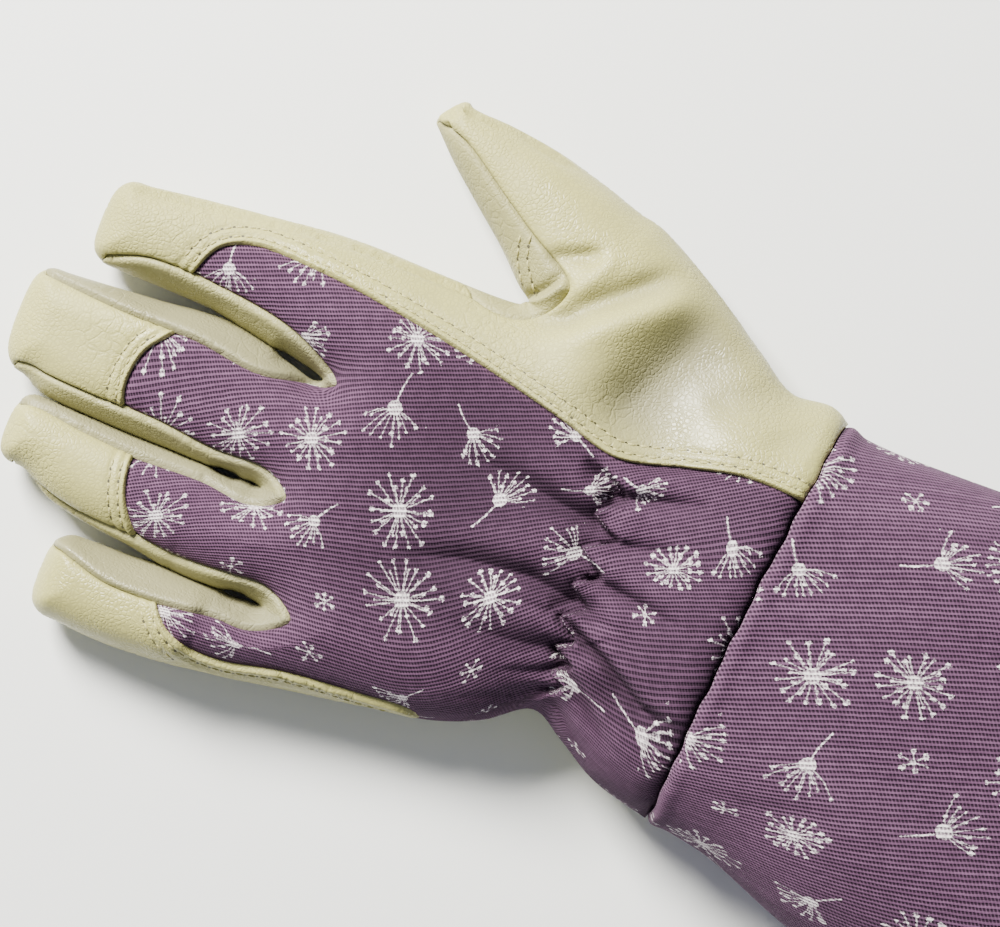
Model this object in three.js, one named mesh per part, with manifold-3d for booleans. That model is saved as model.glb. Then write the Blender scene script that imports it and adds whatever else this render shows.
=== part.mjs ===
// Puncture-proof gardening glove, left hand, lying palm down. Millimetres, +Z up.
// +X runs from the finger tips to the gauntlet's hem and +Y towards the thumb.
// The origin is on the flat underside of the palm.
import * as THREE from "three";
import { ConvexHull } from "three/addons/math/ConvexHull.js";
import Module from "manifold-3d";

const wasm = await Module();
wasm.setup();
const { CrossSection } = wasm;

// Driving sizes
const LEATHER = 1.6; // wall of the leather pieces
const FABRIC = 1.2; // wall of the printed fabric
const HEM = 2.4; // turned hem of the gauntlet
const SEAM_GAP = 0.65; // between neighbouring pieces
const HEM_X = 250; // far edge of the gauntlet
const HEM_DEPTH = 16;
const TIP_POWER = 2.7; // squareness of the finger tips

// Digits: rows from the tip to the root, with the half breadth towards the thumb side and the little side.
// The direction is that of the digit from its tip, in degrees from +X.
const DIGITS = {
  thumb: {
    tipX: -44.8,
    tipY: 95,
    direction: -38,
    rows: [
      { along: 6, thumbSide: 6.2, littleSide: 5.4 },
      { along: 20, thumbSide: 14.6, littleSide: 5.7 },
      { along: 36.5, thumbSide: 22.6, littleSide: 6.4 },
      { along: 47, thumbSide: 26.8, littleSide: 7.6 },
    ],
  },
  index: {
    tipX: -114,
    tipY: 35,
    direction: 0,
    rows: [
      { along: 9, thumbSide: 12, littleSide: 9.9 },
      { along: 22, thumbSide: 14, littleSide: 10 },
      { along: 38, thumbSide: 16.2, littleSide: 10.6 },
      { along: 60, thumbSide: 18.7, littleSide: 14.3 },
    ],
  },
  middle: {
    tipX: -125,
    tipY: 8,
    direction: 0,
    rows: [
      { along: 9, thumbSide: 11.2, littleSide: 15.8 },
      { along: 17, thumbSide: 12.3, littleSide: 18.3 },
      { along: 33, thumbSide: 14, littleSide: 19.3 },
      { along: 47, thumbSide: 15.4, littleSide: 19.2 },
      { along: 68, thumbSide: 11.6, littleSide: 19.2 },
    ],
  },
  ring: {
    tipX: -117,
    tipY: -21.5,
    direction: 0,
    rows: [
      { along: 8, thumbSide: 9, littleSide: 8.6 },
      { along: 17, thumbSide: 9, littleSide: 12.9 },
      { along: 32, thumbSide: 8.8, littleSide: 15.6 },
      { along: 62, thumbSide: 8.9, littleSide: 17.4 },
    ],
  },
  little: {
    tipX: -95.4,
    tipY: -52,
    direction: 0,
    rows: [
      { along: 9, thumbSide: 11.6, littleSide: 9.7 },
      { along: 20, thumbSide: 11.8, littleSide: 10.7 },
      { along: 34, thumbSide: 11.4, littleSide: 10.1 },
      { along: 50, thumbSide: 12.2, littleSide: 7.9 },
    ],
  },
};

// Deepest point between each digit and the next.
const CROTCHES = [
  { x: -6.8, y: 55.4 },
  { x: -47.5, y: 18.7 },
  { x: -51.5, y: -11.9 },
  { x: -40.5, y: -39.3 },
];

// Sides of the hand and the gauntlet past the digits.
const THUMB_EDGE = [
  { x: 17, y: 85 },
  { x: 37, y: 75 },
  { x: 51.5, y: 66.1 },
  { x: 62, y: 59.8 },
  { x: 73, y: 58.6 },
  { x: 86, y: 56 },
  { x: 120, y: 56.2 },
  { x: 180, y: 58 },
  { x: 250, y: 61 },
  { x: 320, y: 64 },
];
const LITTLE_EDGE = [
  { x: -27, y: -56.5 },
  { x: -8, y: -53 },
  { x: 9, y: -49.8 },
  { x: 21, y: -45 },
  { x: 32, y: -37.6 },
  { x: 41, y: -42 },
  { x: 52, y: -48.1 },
  { x: 66, y: -51.6 },
  { x: 84, y: -54.6 },
  { x: 112, y: -64.2 },
  { x: 180, y: -79 },
  { x: 250, y: -89 },
  { x: 320, y: -97 },
];

// Heights along the glove: top, widest line and underside, and the breadth over which each side rounds.
const SECTIONS = [
  { x: -126, top: 15.5, side: 7.5, under: 1.6, topRoll: 10, underRoll: 8 },
  { x: -104, top: 18.5, side: 8.5, under: 1.6, topRoll: 11, underRoll: 8 },
  { x: -78, top: 21, side: 9.5, under: 1.4, topRoll: 12.5, underRoll: 9 },
  { x: -50, top: 26, side: 11, under: 0.8, topRoll: 16, underRoll: 10 },
  { x: -22, top: 32, side: 13, under: 0, topRoll: 22, underRoll: 12 },
  { x: 8, top: 37, side: 15, under: 0, topRoll: 26, underRoll: 14 },
  { x: 33, top: 37, side: 16, under: 1.4, topRoll: 26, underRoll: 15 },
  { x: 54, top: 42, side: 18, under: 1, topRoll: 27, underRoll: 16 },
  { x: 75, top: 45, side: 20, under: 0.6, topRoll: 28, underRoll: 17 },
  { x: 115, top: 50, side: 22, under: 0, topRoll: 36, underRoll: 24 },
  { x: 320, top: 58, side: 26, under: 0, topRoll: 50, underRoll: 36 },
];
const THUMB_SECTIONS = [
  { along: 0, top: 14.5, side: 7.5, topRoll: 7 },
  { along: 16, top: 19, side: 8.5, topRoll: 9.5 },
  { along: 37, top: 24, side: 10, topRoll: 13 },
  { along: 60, top: 29, side: 12, topRoll: 18 },
  { along: 90, top: 37, side: 15, topRoll: 25 },
  { along: 150, top: 45, side: 20, topRoll: 28 },
];
const THUMB_BLEND = { from: 54, to: 70 }; // Y over which the hand's heights give way to the thumb's
const THUMB_END = { from: 40, to: 75 }; // X over which the thumb's heights give way to the wrist's
const DOME = 3.5; // how much lower the back lies at the edge of the knuckles than at its middle
const DOME_SPAN = 50;
const DOME_CENTRE = 2;
const DOME_WIDEST = 1.3; // largest share of the span that counts
const DOME_STARTS = { from: -60, to: -10 };
const DOME_ENDS = { from: 60, to: 110 };

// Valleys pressed into the back: the line each one follows, its depth and half breadth.
const FOLD_FADE = 0.75; // share of its depth that a valley loses by its far end
const FOLDS = [
  { x0: 27.6, y0: 13, x1: -14, y1: 15.7, depth: 3.4, half: 4.2 },
  { x0: 25, y0: 24, x1: 12, y1: 29, depth: 2.6, half: 3.6 },
  { x0: 28.6, y0: -5, x1: 5, y1: -6.5, depth: 3.6, half: 4 },
  { x0: 29, y0: -13.2, x1: 12, y1: -14.4, depth: 2.6, half: 3.6 },
  { x0: 31, y0: -32, x1: 9, y1: -42.6, depth: 2.6, half: 4 },
  { x0: 33.4, y0: 18.9, x1: 56.5, y1: 27, depth: 3.4, half: 4 },
  { x0: 34.8, y0: 8.7, x1: 52, y1: 12, depth: 2.3, half: 3.6 },
  { x0: 34.6, y0: -1, x1: 66, y1: -2.6, depth: 3.6, half: 4 },
  { x0: 30.2, y0: -14.8, x1: 60.5, y1: -26.3, depth: 3.6, half: 4 },
  { x0: 33.4, y0: -22.6, x1: 52.3, y1: -38.7, depth: 3.1, half: 4 },
  { x0: 31, y0: 24, x1: 31.5, y1: -33, depth: 2.1, half: 3.4 },
  { x0: 1.2, y0: 57.1, x1: 29.2, y1: 80, depth: 1.8, half: 5 },
  { x0: 25.8, y0: 49.5, x1: 42, y1: 74, depth: 2.3, half: 7 },
];

// Side strips between the fingers: their breadth on the finger before and the finger after, by X.
const FOURCHETTES = [
  {
    name: "fourchette_1",
    before: "index",
    after: "middle",
    crotch: 1,
    turn: 3.2,
    rows: [
      { x: -122, before: 0, after: 1 },
      { x: -109, before: 1.6, after: 3.6 },
      { x: -98, before: 5.4, after: 5.2 },
      { x: -80, before: 5.4, after: 7.2 },
      { x: -62, before: 6, after: 6 },
      { x: -52, before: 4.4, after: 3 },
    ],
  },
  {
    name: "fourchette_2",
    before: "middle",
    after: "ring",
    crotch: 2,
    turn: 6.6,
    rows: [
      { x: -120, before: 1.6, after: 0 },
      { x: -112, before: 3.2, after: 1.8 },
      { x: -98, before: 4.6, after: 2.7 },
      { x: -82, before: 4.8, after: 3.1 },
      { x: -66, before: 3.2, after: 2.4 },
      { x: -52, before: 3.4, after: 3.2 },
    ],
  },
  {
    name: "fourchette_3",
    before: "ring",
    after: "little",
    crotch: 3,
    turn: 8,
    rows: [
      { x: -100, before: 1.2, after: 0 },
      { x: -90, before: 1.6, after: 5.4 },
      { x: -78, before: 2.5, after: 7.6 },
      { x: -64, before: 2.4, after: 6.6 },
      { x: -50, before: 4, after: 5 },
      { x: -41, before: 4.4, after: 4.9 },
    ],
  },
];
const UNDER_STRIP = 0.75; // a strip's breadth under the finger, as a share of that on top
const STRIP_MOUTH = 4; // how far a strip's region runs out past its ends
const TIP_MARGIN = 0.6; // a strip starts at least this far from the finger's tip

// Seam lines on the back, each carried a little past the piece that it bounds.
const SIDE_LEATHER_SEAM = [
  { x: -88, y: 24 },
  { x: -85.8, y: 33 },
  { x: -82.4, y: 39.6 },
  { x: -75, y: 43.3 },
  { x: -58, y: 43.3 },
  { x: -36, y: 40.9 },
  { x: -12, y: 36.6 },
  { x: 11.7, y: 31.1 },
  { x: 27, y: 27.6 },
  { x: 43.8, y: 31.7 },
  { x: 58, y: 34.9 },
  { x: 84, y: 34.2 },
];
const MIDDLE_TIP_SEAM = [
  { x: -82.5, y: 24 },
  { x: -85.5, y: 15.9 },
  { x: -90.4, y: 8.4 },
  { x: -91.7, y: 0.1 },
  { x: -90, y: -7 },
  { x: -87, y: -12 },
];
const RING_TIP_SEAM = [
  { x: -83.6, y: -12 },
  { x: -83.2, y: -19.6 },
  { x: -80.9, y: -27.3 },
  { x: -76.4, y: -34.4 },
  { x: -72, y: -38.5 },
];
const LITTLE_SIDE_SEAM = [
  { x: -67, y: -40.6 },
  { x: -63.9, y: -47.4 },
  { x: -59.7, y: -52.4 },
  { x: -53, y: -55.6 },
  { x: -44, y: -55.8 },
  { x: -30, y: -52.6 },
  { x: -10, y: -50.6 },
  { x: 4, y: -49.8 },
  { x: 14, y: -53 },
];
const THUMB_SEAM = [
  { x: -49, y: 91 },
  { x: -44, y: 89 },
  { x: -36.5, y: 86.6 },
  { x: -23.5, y: 78.1 },
  { x: -12.5, y: 71 },
  { x: -2.1, y: 65.2 },
  { x: 0.8, y: 61.6 },
  { x: -1.6, y: 55.6 },
  { x: -8, y: 50.8 },
  { x: -18, y: 51.2 },
  { x: -27, y: 57 },
];
const THUMB_UNDER_SEAM = [
  { x: -30, y: 58 },
  { x: -14, y: 48 },
  { x: 4, y: 43 },
  { x: 22, y: 47 },
  { x: 35, y: 59 },
  { x: 46, y: 78 },
];
const WRIST_SEAM = [
  { y: -80, x: 68 },
  { y: -47, x: 67.3 },
  { y: -26, x: 67.4 },
  { y: 0, x: 69 },
  { y: 22, x: 71 },
  { y: 42, x: 73.6 },
  { y: 54, x: 76.4 },
  { y: 80, x: 84 },
];

// Corners that close each region off outside the glove, on from the last point of its seam.
const PAST_TIPS = -140;
const PAST_THUMB = 130;
const PAST_LITTLE = -80;
const SIDE_LEATHER_CORNERS = [
  { x: 100, y: PAST_THUMB },
  { x: PAST_TIPS, y: PAST_THUMB },
  { x: PAST_TIPS, y: 24 },
];
const MIDDLE_TIP_CORNERS = [
  { x: PAST_TIPS, y: -11.6 },
  { x: PAST_TIPS, y: 24 },
];
const RING_TIP_CORNERS = [
  { x: PAST_TIPS, y: -39.2 },
  { x: PAST_TIPS, y: -11.6 },
];
const LITTLE_SIDE_CORNERS = [
  { x: 14, y: PAST_LITTLE },
  { x: PAST_TIPS, y: PAST_LITTLE },
  { x: PAST_TIPS, y: -39.6 },
];
const THUMB_CORNERS = [{ x: -60, y: 60 }];
const THUMB_UNDER_CORNERS = [
  { x: 46, y: PAST_THUMB },
  { x: -70, y: PAST_THUMB },
  { x: -70, y: 58 },
];
const WRIST_CORNERS = [
  { x: 400, y: 400 },
  { x: 400, y: -400 },
];

// Spacing of the faceted surface
const EDGE_STEP = 6.5;
const EDGE_TURN = 0.36; // radians
const LEAST_STEP = 0.9; // between points kept for a turn
const CURVE_SAMPLES = 24; // for each given point of a curve
const STEEP_STEP = { least: 1.4, growth: 0.7 }; // along a seam near the outline, by the distance from it
const RING_SHARES = [0.1, 0.34, 0.7]; // of the breadth over which a side rounds
const RING_SLACK = 0.93; // a ring's point is dropped where another part of the outline is nearer than this
const GRID_START = 0.9; // share of the rounding past which the grid begins
const COARSE = 9;
const FINE = 4.6;
const HAND_BOX = { lowX: -125, highX: 90, lowY: -70, highY: 105 };
const CLEARANCE = { least: 0.5, growth: 0.35, most: 2.2 }; // between points, by the distance from the outline
const ON_OUTLINE = 0.05;
const NEAR_OUTLINE = 0.1;
const GATHERED = { from: 4, to: 70, sideReach: 55 }; // where the back is drawn up and needs the fine spacing

const COLOURS = { leather: 0xd2cdb0, fabric: 0x7d5288 };

// The value of one column of a table at a place along another, on a smooth curve through the rows.
function column(rows, key, name, at) {
  const last = rows.length - 1;
  let i = 0;
  while (i < last - 1 && at > rows[i + 1][key]) i++;
  const a = rows[i];
  const b = rows[i + 1];
  const before = rows[Math.max(0, i - 1)];
  const after = rows[Math.min(last, i + 2)];
  const span = b[key] - a[key];
  const t = Math.min(1, Math.max(0, (at - a[key]) / span));
  const slopeA = ((b[name] - before[name]) / (b[key] - before[key])) * span;
  const slopeB = ((after[name] - a[name]) / (after[key] - a[key])) * span;
  const t2 = t * t;
  const t3 = t2 * t;
  return (
    a[name] * (2 * t3 - 3 * t2 + 1) +
    slopeA * (t3 - 2 * t2 + t) +
    b[name] * (3 * t2 - 2 * t3) +
    slopeB * (t3 - t2)
  );
}

function smoothStep(from, to, value) {
  const t = Math.min(1, Math.max(0, (value - from) / (to - from)));
  return t * t * (3 - 2 * t);
}

const mix = (a, b, share) => a + (b - a) * share;

// Half breadth of a digit at a distance from its tip, rounded off at the end.
function breadth(digit, side, along) {
  const first = digit.rows[0];
  if (along >= first.along) return column(digit.rows, "along", side, along);
  const rest = 1 - Math.max(0, along) / first.along;
  return first[side] * Math.pow(1 - Math.pow(rest, TIP_POWER), 1 / TIP_POWER);
}

function digitPoint(digit, side, along) {
  const angle = THREE.MathUtils.degToRad(digit.direction);
  const across = breadth(digit, side, along) * (side === "thumbSide" ? 1 : -1);
  return new THREE.Vector2(
    digit.tipX + Math.cos(angle) * along - Math.sin(angle) * across,
    digit.tipY + Math.sin(angle) * along + Math.cos(angle) * across,
  );
}

// A digit's edge from its root on the thumb side, round the tip, to its root on the little side.
function digitEdge(digit) {
  const points = [];
  const roundShares = [0.45, 0.12];
  const rows = digit.rows;
  for (let i = rows.length - 1; i >= 0; i--) points.push(digitPoint(digit, "thumbSide", rows[i].along));
  for (const share of roundShares) points.push(digitPoint(digit, "thumbSide", rows[0].along * share));
  points.push(digitPoint(digit, "thumbSide", 0));
  for (const share of [...roundShares].reverse())
    points.push(digitPoint(digit, "littleSide", rows[0].along * share));
  for (const row of rows) points.push(digitPoint(digit, "littleSide", row.along));
  return points;
}

const vectors = (rows) => rows.map((row) => new THREE.Vector2(row.x, row.y));

// The round end of the gap between two fingers.
function gapEnd(crotch) {
  const BACK = 2;
  const HALF = 0.9;
  return vectors([
    { x: crotch.x - BACK, y: crotch.y + HALF },
    crotch,
    { x: crotch.x - BACK, y: crotch.y - HALF },
  ]);
}

// Points along a smooth curve through the given ones, close where it turns.
function smoothLine(points, closed, step) {
  const curve = new THREE.CatmullRomCurve3(
    points.map((p) => new THREE.Vector3(p.x, p.y, 0)),
    closed,
    "centripetal",
  );
  const dense = curve.getPoints(points.length * CURVE_SAMPLES);
  const kept = [dense[0]];
  let length = 0;
  let turn = 0;
  for (let i = 1; i < dense.length - 1; i++) {
    const inward = dense[i].clone().sub(dense[i - 1]);
    const outward = dense[i + 1].clone().sub(dense[i]);
    length += inward.length();
    turn += inward.angleTo(outward);
    if (length > step || (turn > EDGE_TURN && length > LEAST_STEP)) {
      kept.push(dense[i]);
      length = 0;
      turn = 0;
    }
  }
  if (!closed) kept.push(dense[dense.length - 1]);
  return kept.map((p) => new THREE.Vector2(p.x, p.y));
}

// The whole outline, seen from above, counter-clockwise.
const outline = smoothLine(
  [
    ...vectors(THUMB_EDGE).reverse(),
    ...digitEdge(DIGITS.thumb),
    ...vectors([CROTCHES[0]]),
    ...digitEdge(DIGITS.index),
    ...gapEnd(CROTCHES[1]),
    ...digitEdge(DIGITS.middle),
    ...gapEnd(CROTCHES[2]),
    ...digitEdge(DIGITS.ring),
    ...gapEnd(CROTCHES[3]),
    ...digitEdge(DIGITS.little),
    ...vectors(LITTLE_EDGE),
  ],
  false,
  EDGE_STEP,
);

// The nearest place on the outline: its distance and the outward direction there.
function nearestEdge(x, y) {
  let best = Infinity;
  let footX = 0;
  let footY = 0;
  let alongX = 0;
  let alongY = 0;
  for (let i = 0; i + 1 < outline.length; i++) {
    const a = outline[i];
    const b = outline[i + 1];
    const dx = b.x - a.x;
    const dy = b.y - a.y;
    const t = Math.min(1, Math.max(0, ((x - a.x) * dx + (y - a.y) * dy) / (dx * dx + dy * dy)));
    const px = a.x + dx * t;
    const py = a.y + dy * t;
    const away = Math.hypot(x - px, y - py);
    if (away < best) {
      best = away;
      footX = px;
      footY = py;
      alongX = dx;
      alongY = dy;
    }
  }
  if (best > ON_OUTLINE) return { distance: best, outX: (footX - x) / best, outY: (footY - y) / best };
  const length = Math.hypot(alongX, alongY);
  return { distance: 0, outX: alongY / length, outY: -alongX / length };
}

function foldDepth(x, y) {
  let sum = 0;
  for (const fold of FOLDS) {
    const dx = fold.x1 - fold.x0;
    const dy = fold.y1 - fold.y0;
    const t = Math.min(1, Math.max(0, ((x - fold.x0) * dx + (y - fold.y0) * dy) / (dx * dx + dy * dy)));
    const away = Math.hypot(x - fold.x0 - dx * t, y - fold.y0 - dy * t) / fold.half;
    sum += fold.depth * (1 - FOLD_FADE * t) * Math.exp(-away * away);
  }
  return sum;
}

// Heights and rounding at a place in the plan.
function heights(x, y) {
  const angle = THREE.MathUtils.degToRad(DIGITS.thumb.direction);
  const along = (x - DIGITS.thumb.tipX) * Math.cos(angle) + (y - DIGITS.thumb.tipY) * Math.sin(angle);
  const thumbEnd = smoothStep(THUMB_END.from, THUMB_END.to, x);
  const thumb = smoothStep(THUMB_BLEND.from, THUMB_BLEND.to, y) * (1 - thumbEnd);
  const hand = (name) => column(SECTIONS, "x", name, x);
  const blended = (name) => mix(hand(name), column(THUMB_SECTIONS, "along", name, along), thumb);
  const spread = Math.min(DOME_WIDEST, Math.abs(y - DOME_CENTRE) / DOME_SPAN);
  const domeStart = smoothStep(DOME_STARTS.from, DOME_STARTS.to, x);
  const domeEnd = smoothStep(DOME_ENDS.from, DOME_ENDS.to, x);
  const dome = DOME * spread * spread * domeStart * (1 - domeEnd);
  return {
    top: blended("top") - dome * (1 - thumb),
    side: blended("side"),
    under: hand("under"),
    topRoll: blended("topRoll"),
    underRoll: hand("underRoll"),
  };
}

const round = (share) => Math.sqrt(1 - (1 - share) * (1 - share));

function surfaceHeight(x, y, onTop, distance) {
  const h = heights(x, y);
  const share = Math.min(1, distance / (onTop ? h.topRoll : h.underRoll));
  if (!onTop) return h.side - (h.side - h.under) * round(share);
  return h.side + (h.top - h.side - foldDepth(x, y)) * round(share);
}

// A point of the outer surface and its outward direction.
function surface(x, y, onTop) {
  const STEP = 0.3;
  const edge = nearestEdge(x, y);
  const z = surfaceHeight(x, y, onTop, edge.distance);
  const up = onTop ? 1 : -1;
  if (edge.distance < 2 * STEP) {
    const h = heights(x, y);
    const roll = onTop ? h.topRoll : h.underRoll;
    const rise = onTop ? h.top - h.side : h.side - h.under;
    const share = Math.min(1, edge.distance / roll);
    const steep = (rise * (1 - share)) / roll;
    const normal = new THREE.Vector3(edge.outX * steep, edge.outY * steep, up * round(share));
    return { point: new THREE.Vector3(x, y, z), normal: normal.normalize(), atEdge: edge.distance === 0 };
  }
  const at = (dx, dy) => surfaceHeight(x + dx, y + dy, onTop, nearestEdge(x + dx, y + dy).distance);
  const slopeX = (at(STEP, 0) - at(-STEP, 0)) / (2 * STEP);
  const slopeY = (at(0, STEP) - at(0, -STEP)) / (2 * STEP);
  const normal = new THREE.Vector3(-slopeX * up, -slopeY * up, up).normalize();
  return { point: new THREE.Vector3(x, y, z), normal, atEdge: false };
}

// Plan regions
const region = (points) => new CrossSection([points.map((p) => [p.x, p.y])], "Positive");
const grown = (area, by) => area.offset(by, "Miter", 3);

function closedRegion(points) {
  return THREE.ShapeUtils.area(points) > 0 ? region(points) : region([...points].reverse());
}

function beyond(seam, corners) {
  return closedRegion([...smoothLine(vectors(seam), false, EDGE_STEP), ...vectors(corners)]);
}

// The strip round one gap between fingers, on top or underneath.
function stripRegion(strip, share) {
  const before = DIGITS[strip.before];
  const after = DIGITS[strip.after];
  const crotch = CROTCHES[strip.crotch];
  const side = (digit, name, out) =>
    strip.rows
      .filter((row) => row.x > digit.tipX + TIP_MARGIN)
      .map((row) => {
        const edge = digitPoint(digit, name, row.x - digit.tipX);
        return new THREE.Vector2(row.x, edge.y + out * share * row[out > 0 ? "before" : "after"]);
      });
  const outerSide = side(before, "littleSide", 1);
  const innerSide = side(after, "thumbSide", -1).reverse();
  const apex = new THREE.Vector2(crotch.x + strip.turn * share, crotch.y);
  const line = smoothLine([...outerSide, apex, ...innerSide], false, EDGE_STEP);
  const firstOuter = outerSide[0];
  const lastInner = innerSide[innerSide.length - 1];
  const mouth = [
    new THREE.Vector2(lastInner.x - STRIP_MOUTH, lastInner.y + STRIP_MOUTH),
    new THREE.Vector2(firstOuter.x - STRIP_MOUTH, firstOuter.y - STRIP_MOUTH),
  ];
  return closedRegion([...line, ...mouth]);
}

const cuffArea = beyond(WRIST_SEAM, WRIST_CORNERS);
const gloveArea = region(outline);
const handArea = gloveArea.subtract(grown(cuffArea, SEAM_GAP));
const sideArea = beyond(SIDE_LEATHER_SEAM, SIDE_LEATHER_CORNERS);
const middleTipArea = beyond(MIDDLE_TIP_SEAM, MIDDLE_TIP_CORNERS);
const ringTipArea = beyond(RING_TIP_SEAM, RING_TIP_CORNERS);
const littleSideArea = beyond(LITTLE_SIDE_SEAM, LITTLE_SIDE_CORNERS);
const thumbFrontTop = beyond(THUMB_SEAM, THUMB_CORNERS);
const thumbFrontUnder = beyond(THUMB_UNDER_SEAM, THUMB_UNDER_CORNERS);
const stripsOnTop = FOURCHETTES.map((strip) => stripRegion(strip, 1));
const stripsUnder = FOURCHETTES.map((strip) => stripRegion(strip, UNDER_STRIP));

const without = (area, others) => others.reduce((rest, other) => rest.subtract(grown(other, SEAM_GAP)), area);

const topStrips = [...stripsOnTop, thumbFrontTop];
const tipAreas = [middleTipArea, ringTipArea, littleSideArea];
const topAreas = {
  side_leather: without(handArea.intersect(sideArea), topStrips),
  middle_tip: without(handArea.intersect(middleTipArea), topStrips),
  ring_tip: without(handArea.intersect(ringTipArea), topStrips),
  little_side: without(handArea.intersect(littleSideArea), topStrips),
  back_fabric: without(handArea, [...topStrips, sideArea, ...tipAreas]),
};

// Delaunay triangles of plan points: the lower hull of the points lifted onto a paraboloid.
function delaunay(points) {
  const SCALE = 1 / 200;
  const lifted = points.map((p, i) => {
    const x = p.x * SCALE;
    const y = p.y * SCALE;
    return Object.assign(new THREE.Vector3(x, y, x * x + y * y), { index: i });
  });
  const hull = new ConvexHull().setFromPoints(lifted);
  const triangles = [];
  for (const face of hull.faces) {
    if (face.normal.z >= -1e-9) continue;
    let side = face.edge;
    const corners = [];
    do {
      corners.push(side.head().point.index);
      side = side.next;
    } while (side !== face.edge);
    triangles.push([corners[0], corners[2], corners[1]]);
  }
  return triangles;
}

function insidePolygons(polygons, x, y) {
  let inside = false;
  for (const ring of polygons) {
    for (let i = 0, j = ring.length - 1; i < ring.length; j = i++) {
      const [xi, yi] = ring[i];
      const [xj, yj] = ring[j];
      if (yi > y !== yj > y && x < ((xj - xi) * (y - yi)) / (yj - yi) + xi) inside = !inside;
    }
  }
  return inside;
}

// A region's border with extra points where the surface is steep.
function borderPoints(ring) {
  const points = [];
  ring.forEach(([x, y], i) => {
    const [nextX, nextY] = ring[(i + 1) % ring.length];
    const length = Math.hypot(nextX - x, nextY - y);
    if (length < ON_OUTLINE) return;
    points.push(new THREE.Vector2(x, y));
    const near = nearestEdge((x + nextX) / 2, (y + nextY) / 2).distance;
    if (near < NEAR_OUTLINE) return;
    const parts = Math.ceil(length / Math.min(EDGE_STEP, STEEP_STEP.least + near * STEEP_STEP.growth));
    for (let k = 1; k < parts; k++)
      points.push(new THREE.Vector2(mix(x, nextX, k / parts), mix(y, nextY, k / parts)));
  });
  return points;
}

// Places inside the glove's outline that every piece may use: rings along the edge, then a grid.
function ringPoints(onTop) {
  const points = [];
  for (let i = 1; i + 1 < outline.length; i++) {
    const p = outline[i];
    const dx = outline[i + 1].x - outline[i - 1].x;
    const dy = outline[i + 1].y - outline[i - 1].y;
    const length = Math.hypot(dx, dy);
    const h = heights(p.x, p.y);
    const roll = onTop ? h.topRoll : h.underRoll;
    for (const share of RING_SHARES) {
      const x = p.x - (dy / length) * share * roll;
      const y = p.y + (dx / length) * share * roll;
      if (nearestEdge(x, y).distance > share * roll * RING_SLACK) points.push(new THREE.Vector2(x, y));
    }
  }
  return points;
}

function gridPoints(onTop) {
  const points = [];
  const add = (x, y) => {
    const h = heights(x, y);
    const roll = (onTop ? h.topRoll : h.underRoll) * GRID_START;
    const { distance } = nearestEdge(x, y);
    if (distance > roll) points.push(new THREE.Vector2(x, y));
  };
  const gathered = (x, y) =>
    onTop && x > GATHERED.from && x < GATHERED.to && Math.abs(y) < GATHERED.sideReach;
  for (const step of [COARSE, FINE]) {
    const rise = (step * Math.sqrt(3)) / 2;
    for (let row = 0, y = HAND_BOX.lowY; y < HAND_BOX.highY; y += rise, row++) {
      for (let x = HAND_BOX.lowX + (row % 2) * (step / 2); x < HAND_BOX.highX; x += step) {
        if (gathered(x, y) === (step === FINE)) add(x, y);
      }
    }
  }
  return points;
}

const PLACES = {
  top: [...ringPoints(true), ...gridPoints(true)],
  under: [...ringPoints(false), ...gridPoints(false)],
};

function distanceToBorder(border, x, y) {
  let best = Infinity;
  for (const p of border) best = Math.min(best, Math.hypot(p.x - x, p.y - y));
  return best;
}

// The gap between two fingers opened like scissors at its crotch, so that no triangle spans it.
function gapOpener(strip) {
  const OPENING = 0.6;
  const ROOT = 12; // length of the gap's end that runs straight to the crotch
  const crotch = CROTCHES[strip.crotch];
  const edgeY = (digit, name, x) => digitPoint(digit, name, Math.max(TIP_MARGIN, x - digit.tipX)).y;
  const middleY = (x) => {
    const before = edgeY(DIGITS[strip.before], "littleSide", x);
    const after = edgeY(DIGITS[strip.after], "thumbSide", x);
    return (before + after) / 2;
  };
  return (p) => {
    if (p.x >= crotch.x) return p;
    const rootX = Math.min(p.x, crotch.x - ROOT);
    const middle = mix(crotch.y, middleY(rootX), Math.min(1, (crotch.x - p.x) / ROOT));
    const away = p.y > middle ? 1 : -1;
    return new THREE.Vector2(p.x, p.y + away * OPENING * (crotch.x - p.x));
  };
}

// Halves each border edge that no triangle uses, away from the outline, and says whether there was one.
function splitMissing(rings, triangles) {
  const used = new Set();
  for (const [a, b, c] of triangles) {
    for (const [from, to] of [[a, b], [b, c], [c, a]]) used.add(`${from},${to}`).add(`${to},${from}`);
  }
  let first = 0;
  let split = false;
  rings.forEach((ring, number) => {
    const longer = [];
    ring.forEach((p, i) => {
      const next = (i + 1) % ring.length;
      const middle = p.clone().add(ring[next]).multiplyScalar(0.5);
      longer.push(p);
      const taken = used.has(`${first + i},${first + next}`);
      if (taken || nearestEdge(middle.x, middle.y).distance < NEAR_OUTLINE) return;
      longer.push(middle);
      split = true;
    });
    first += ring.length;
    rings[number] = longer;
  });
  return split;
}

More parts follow.
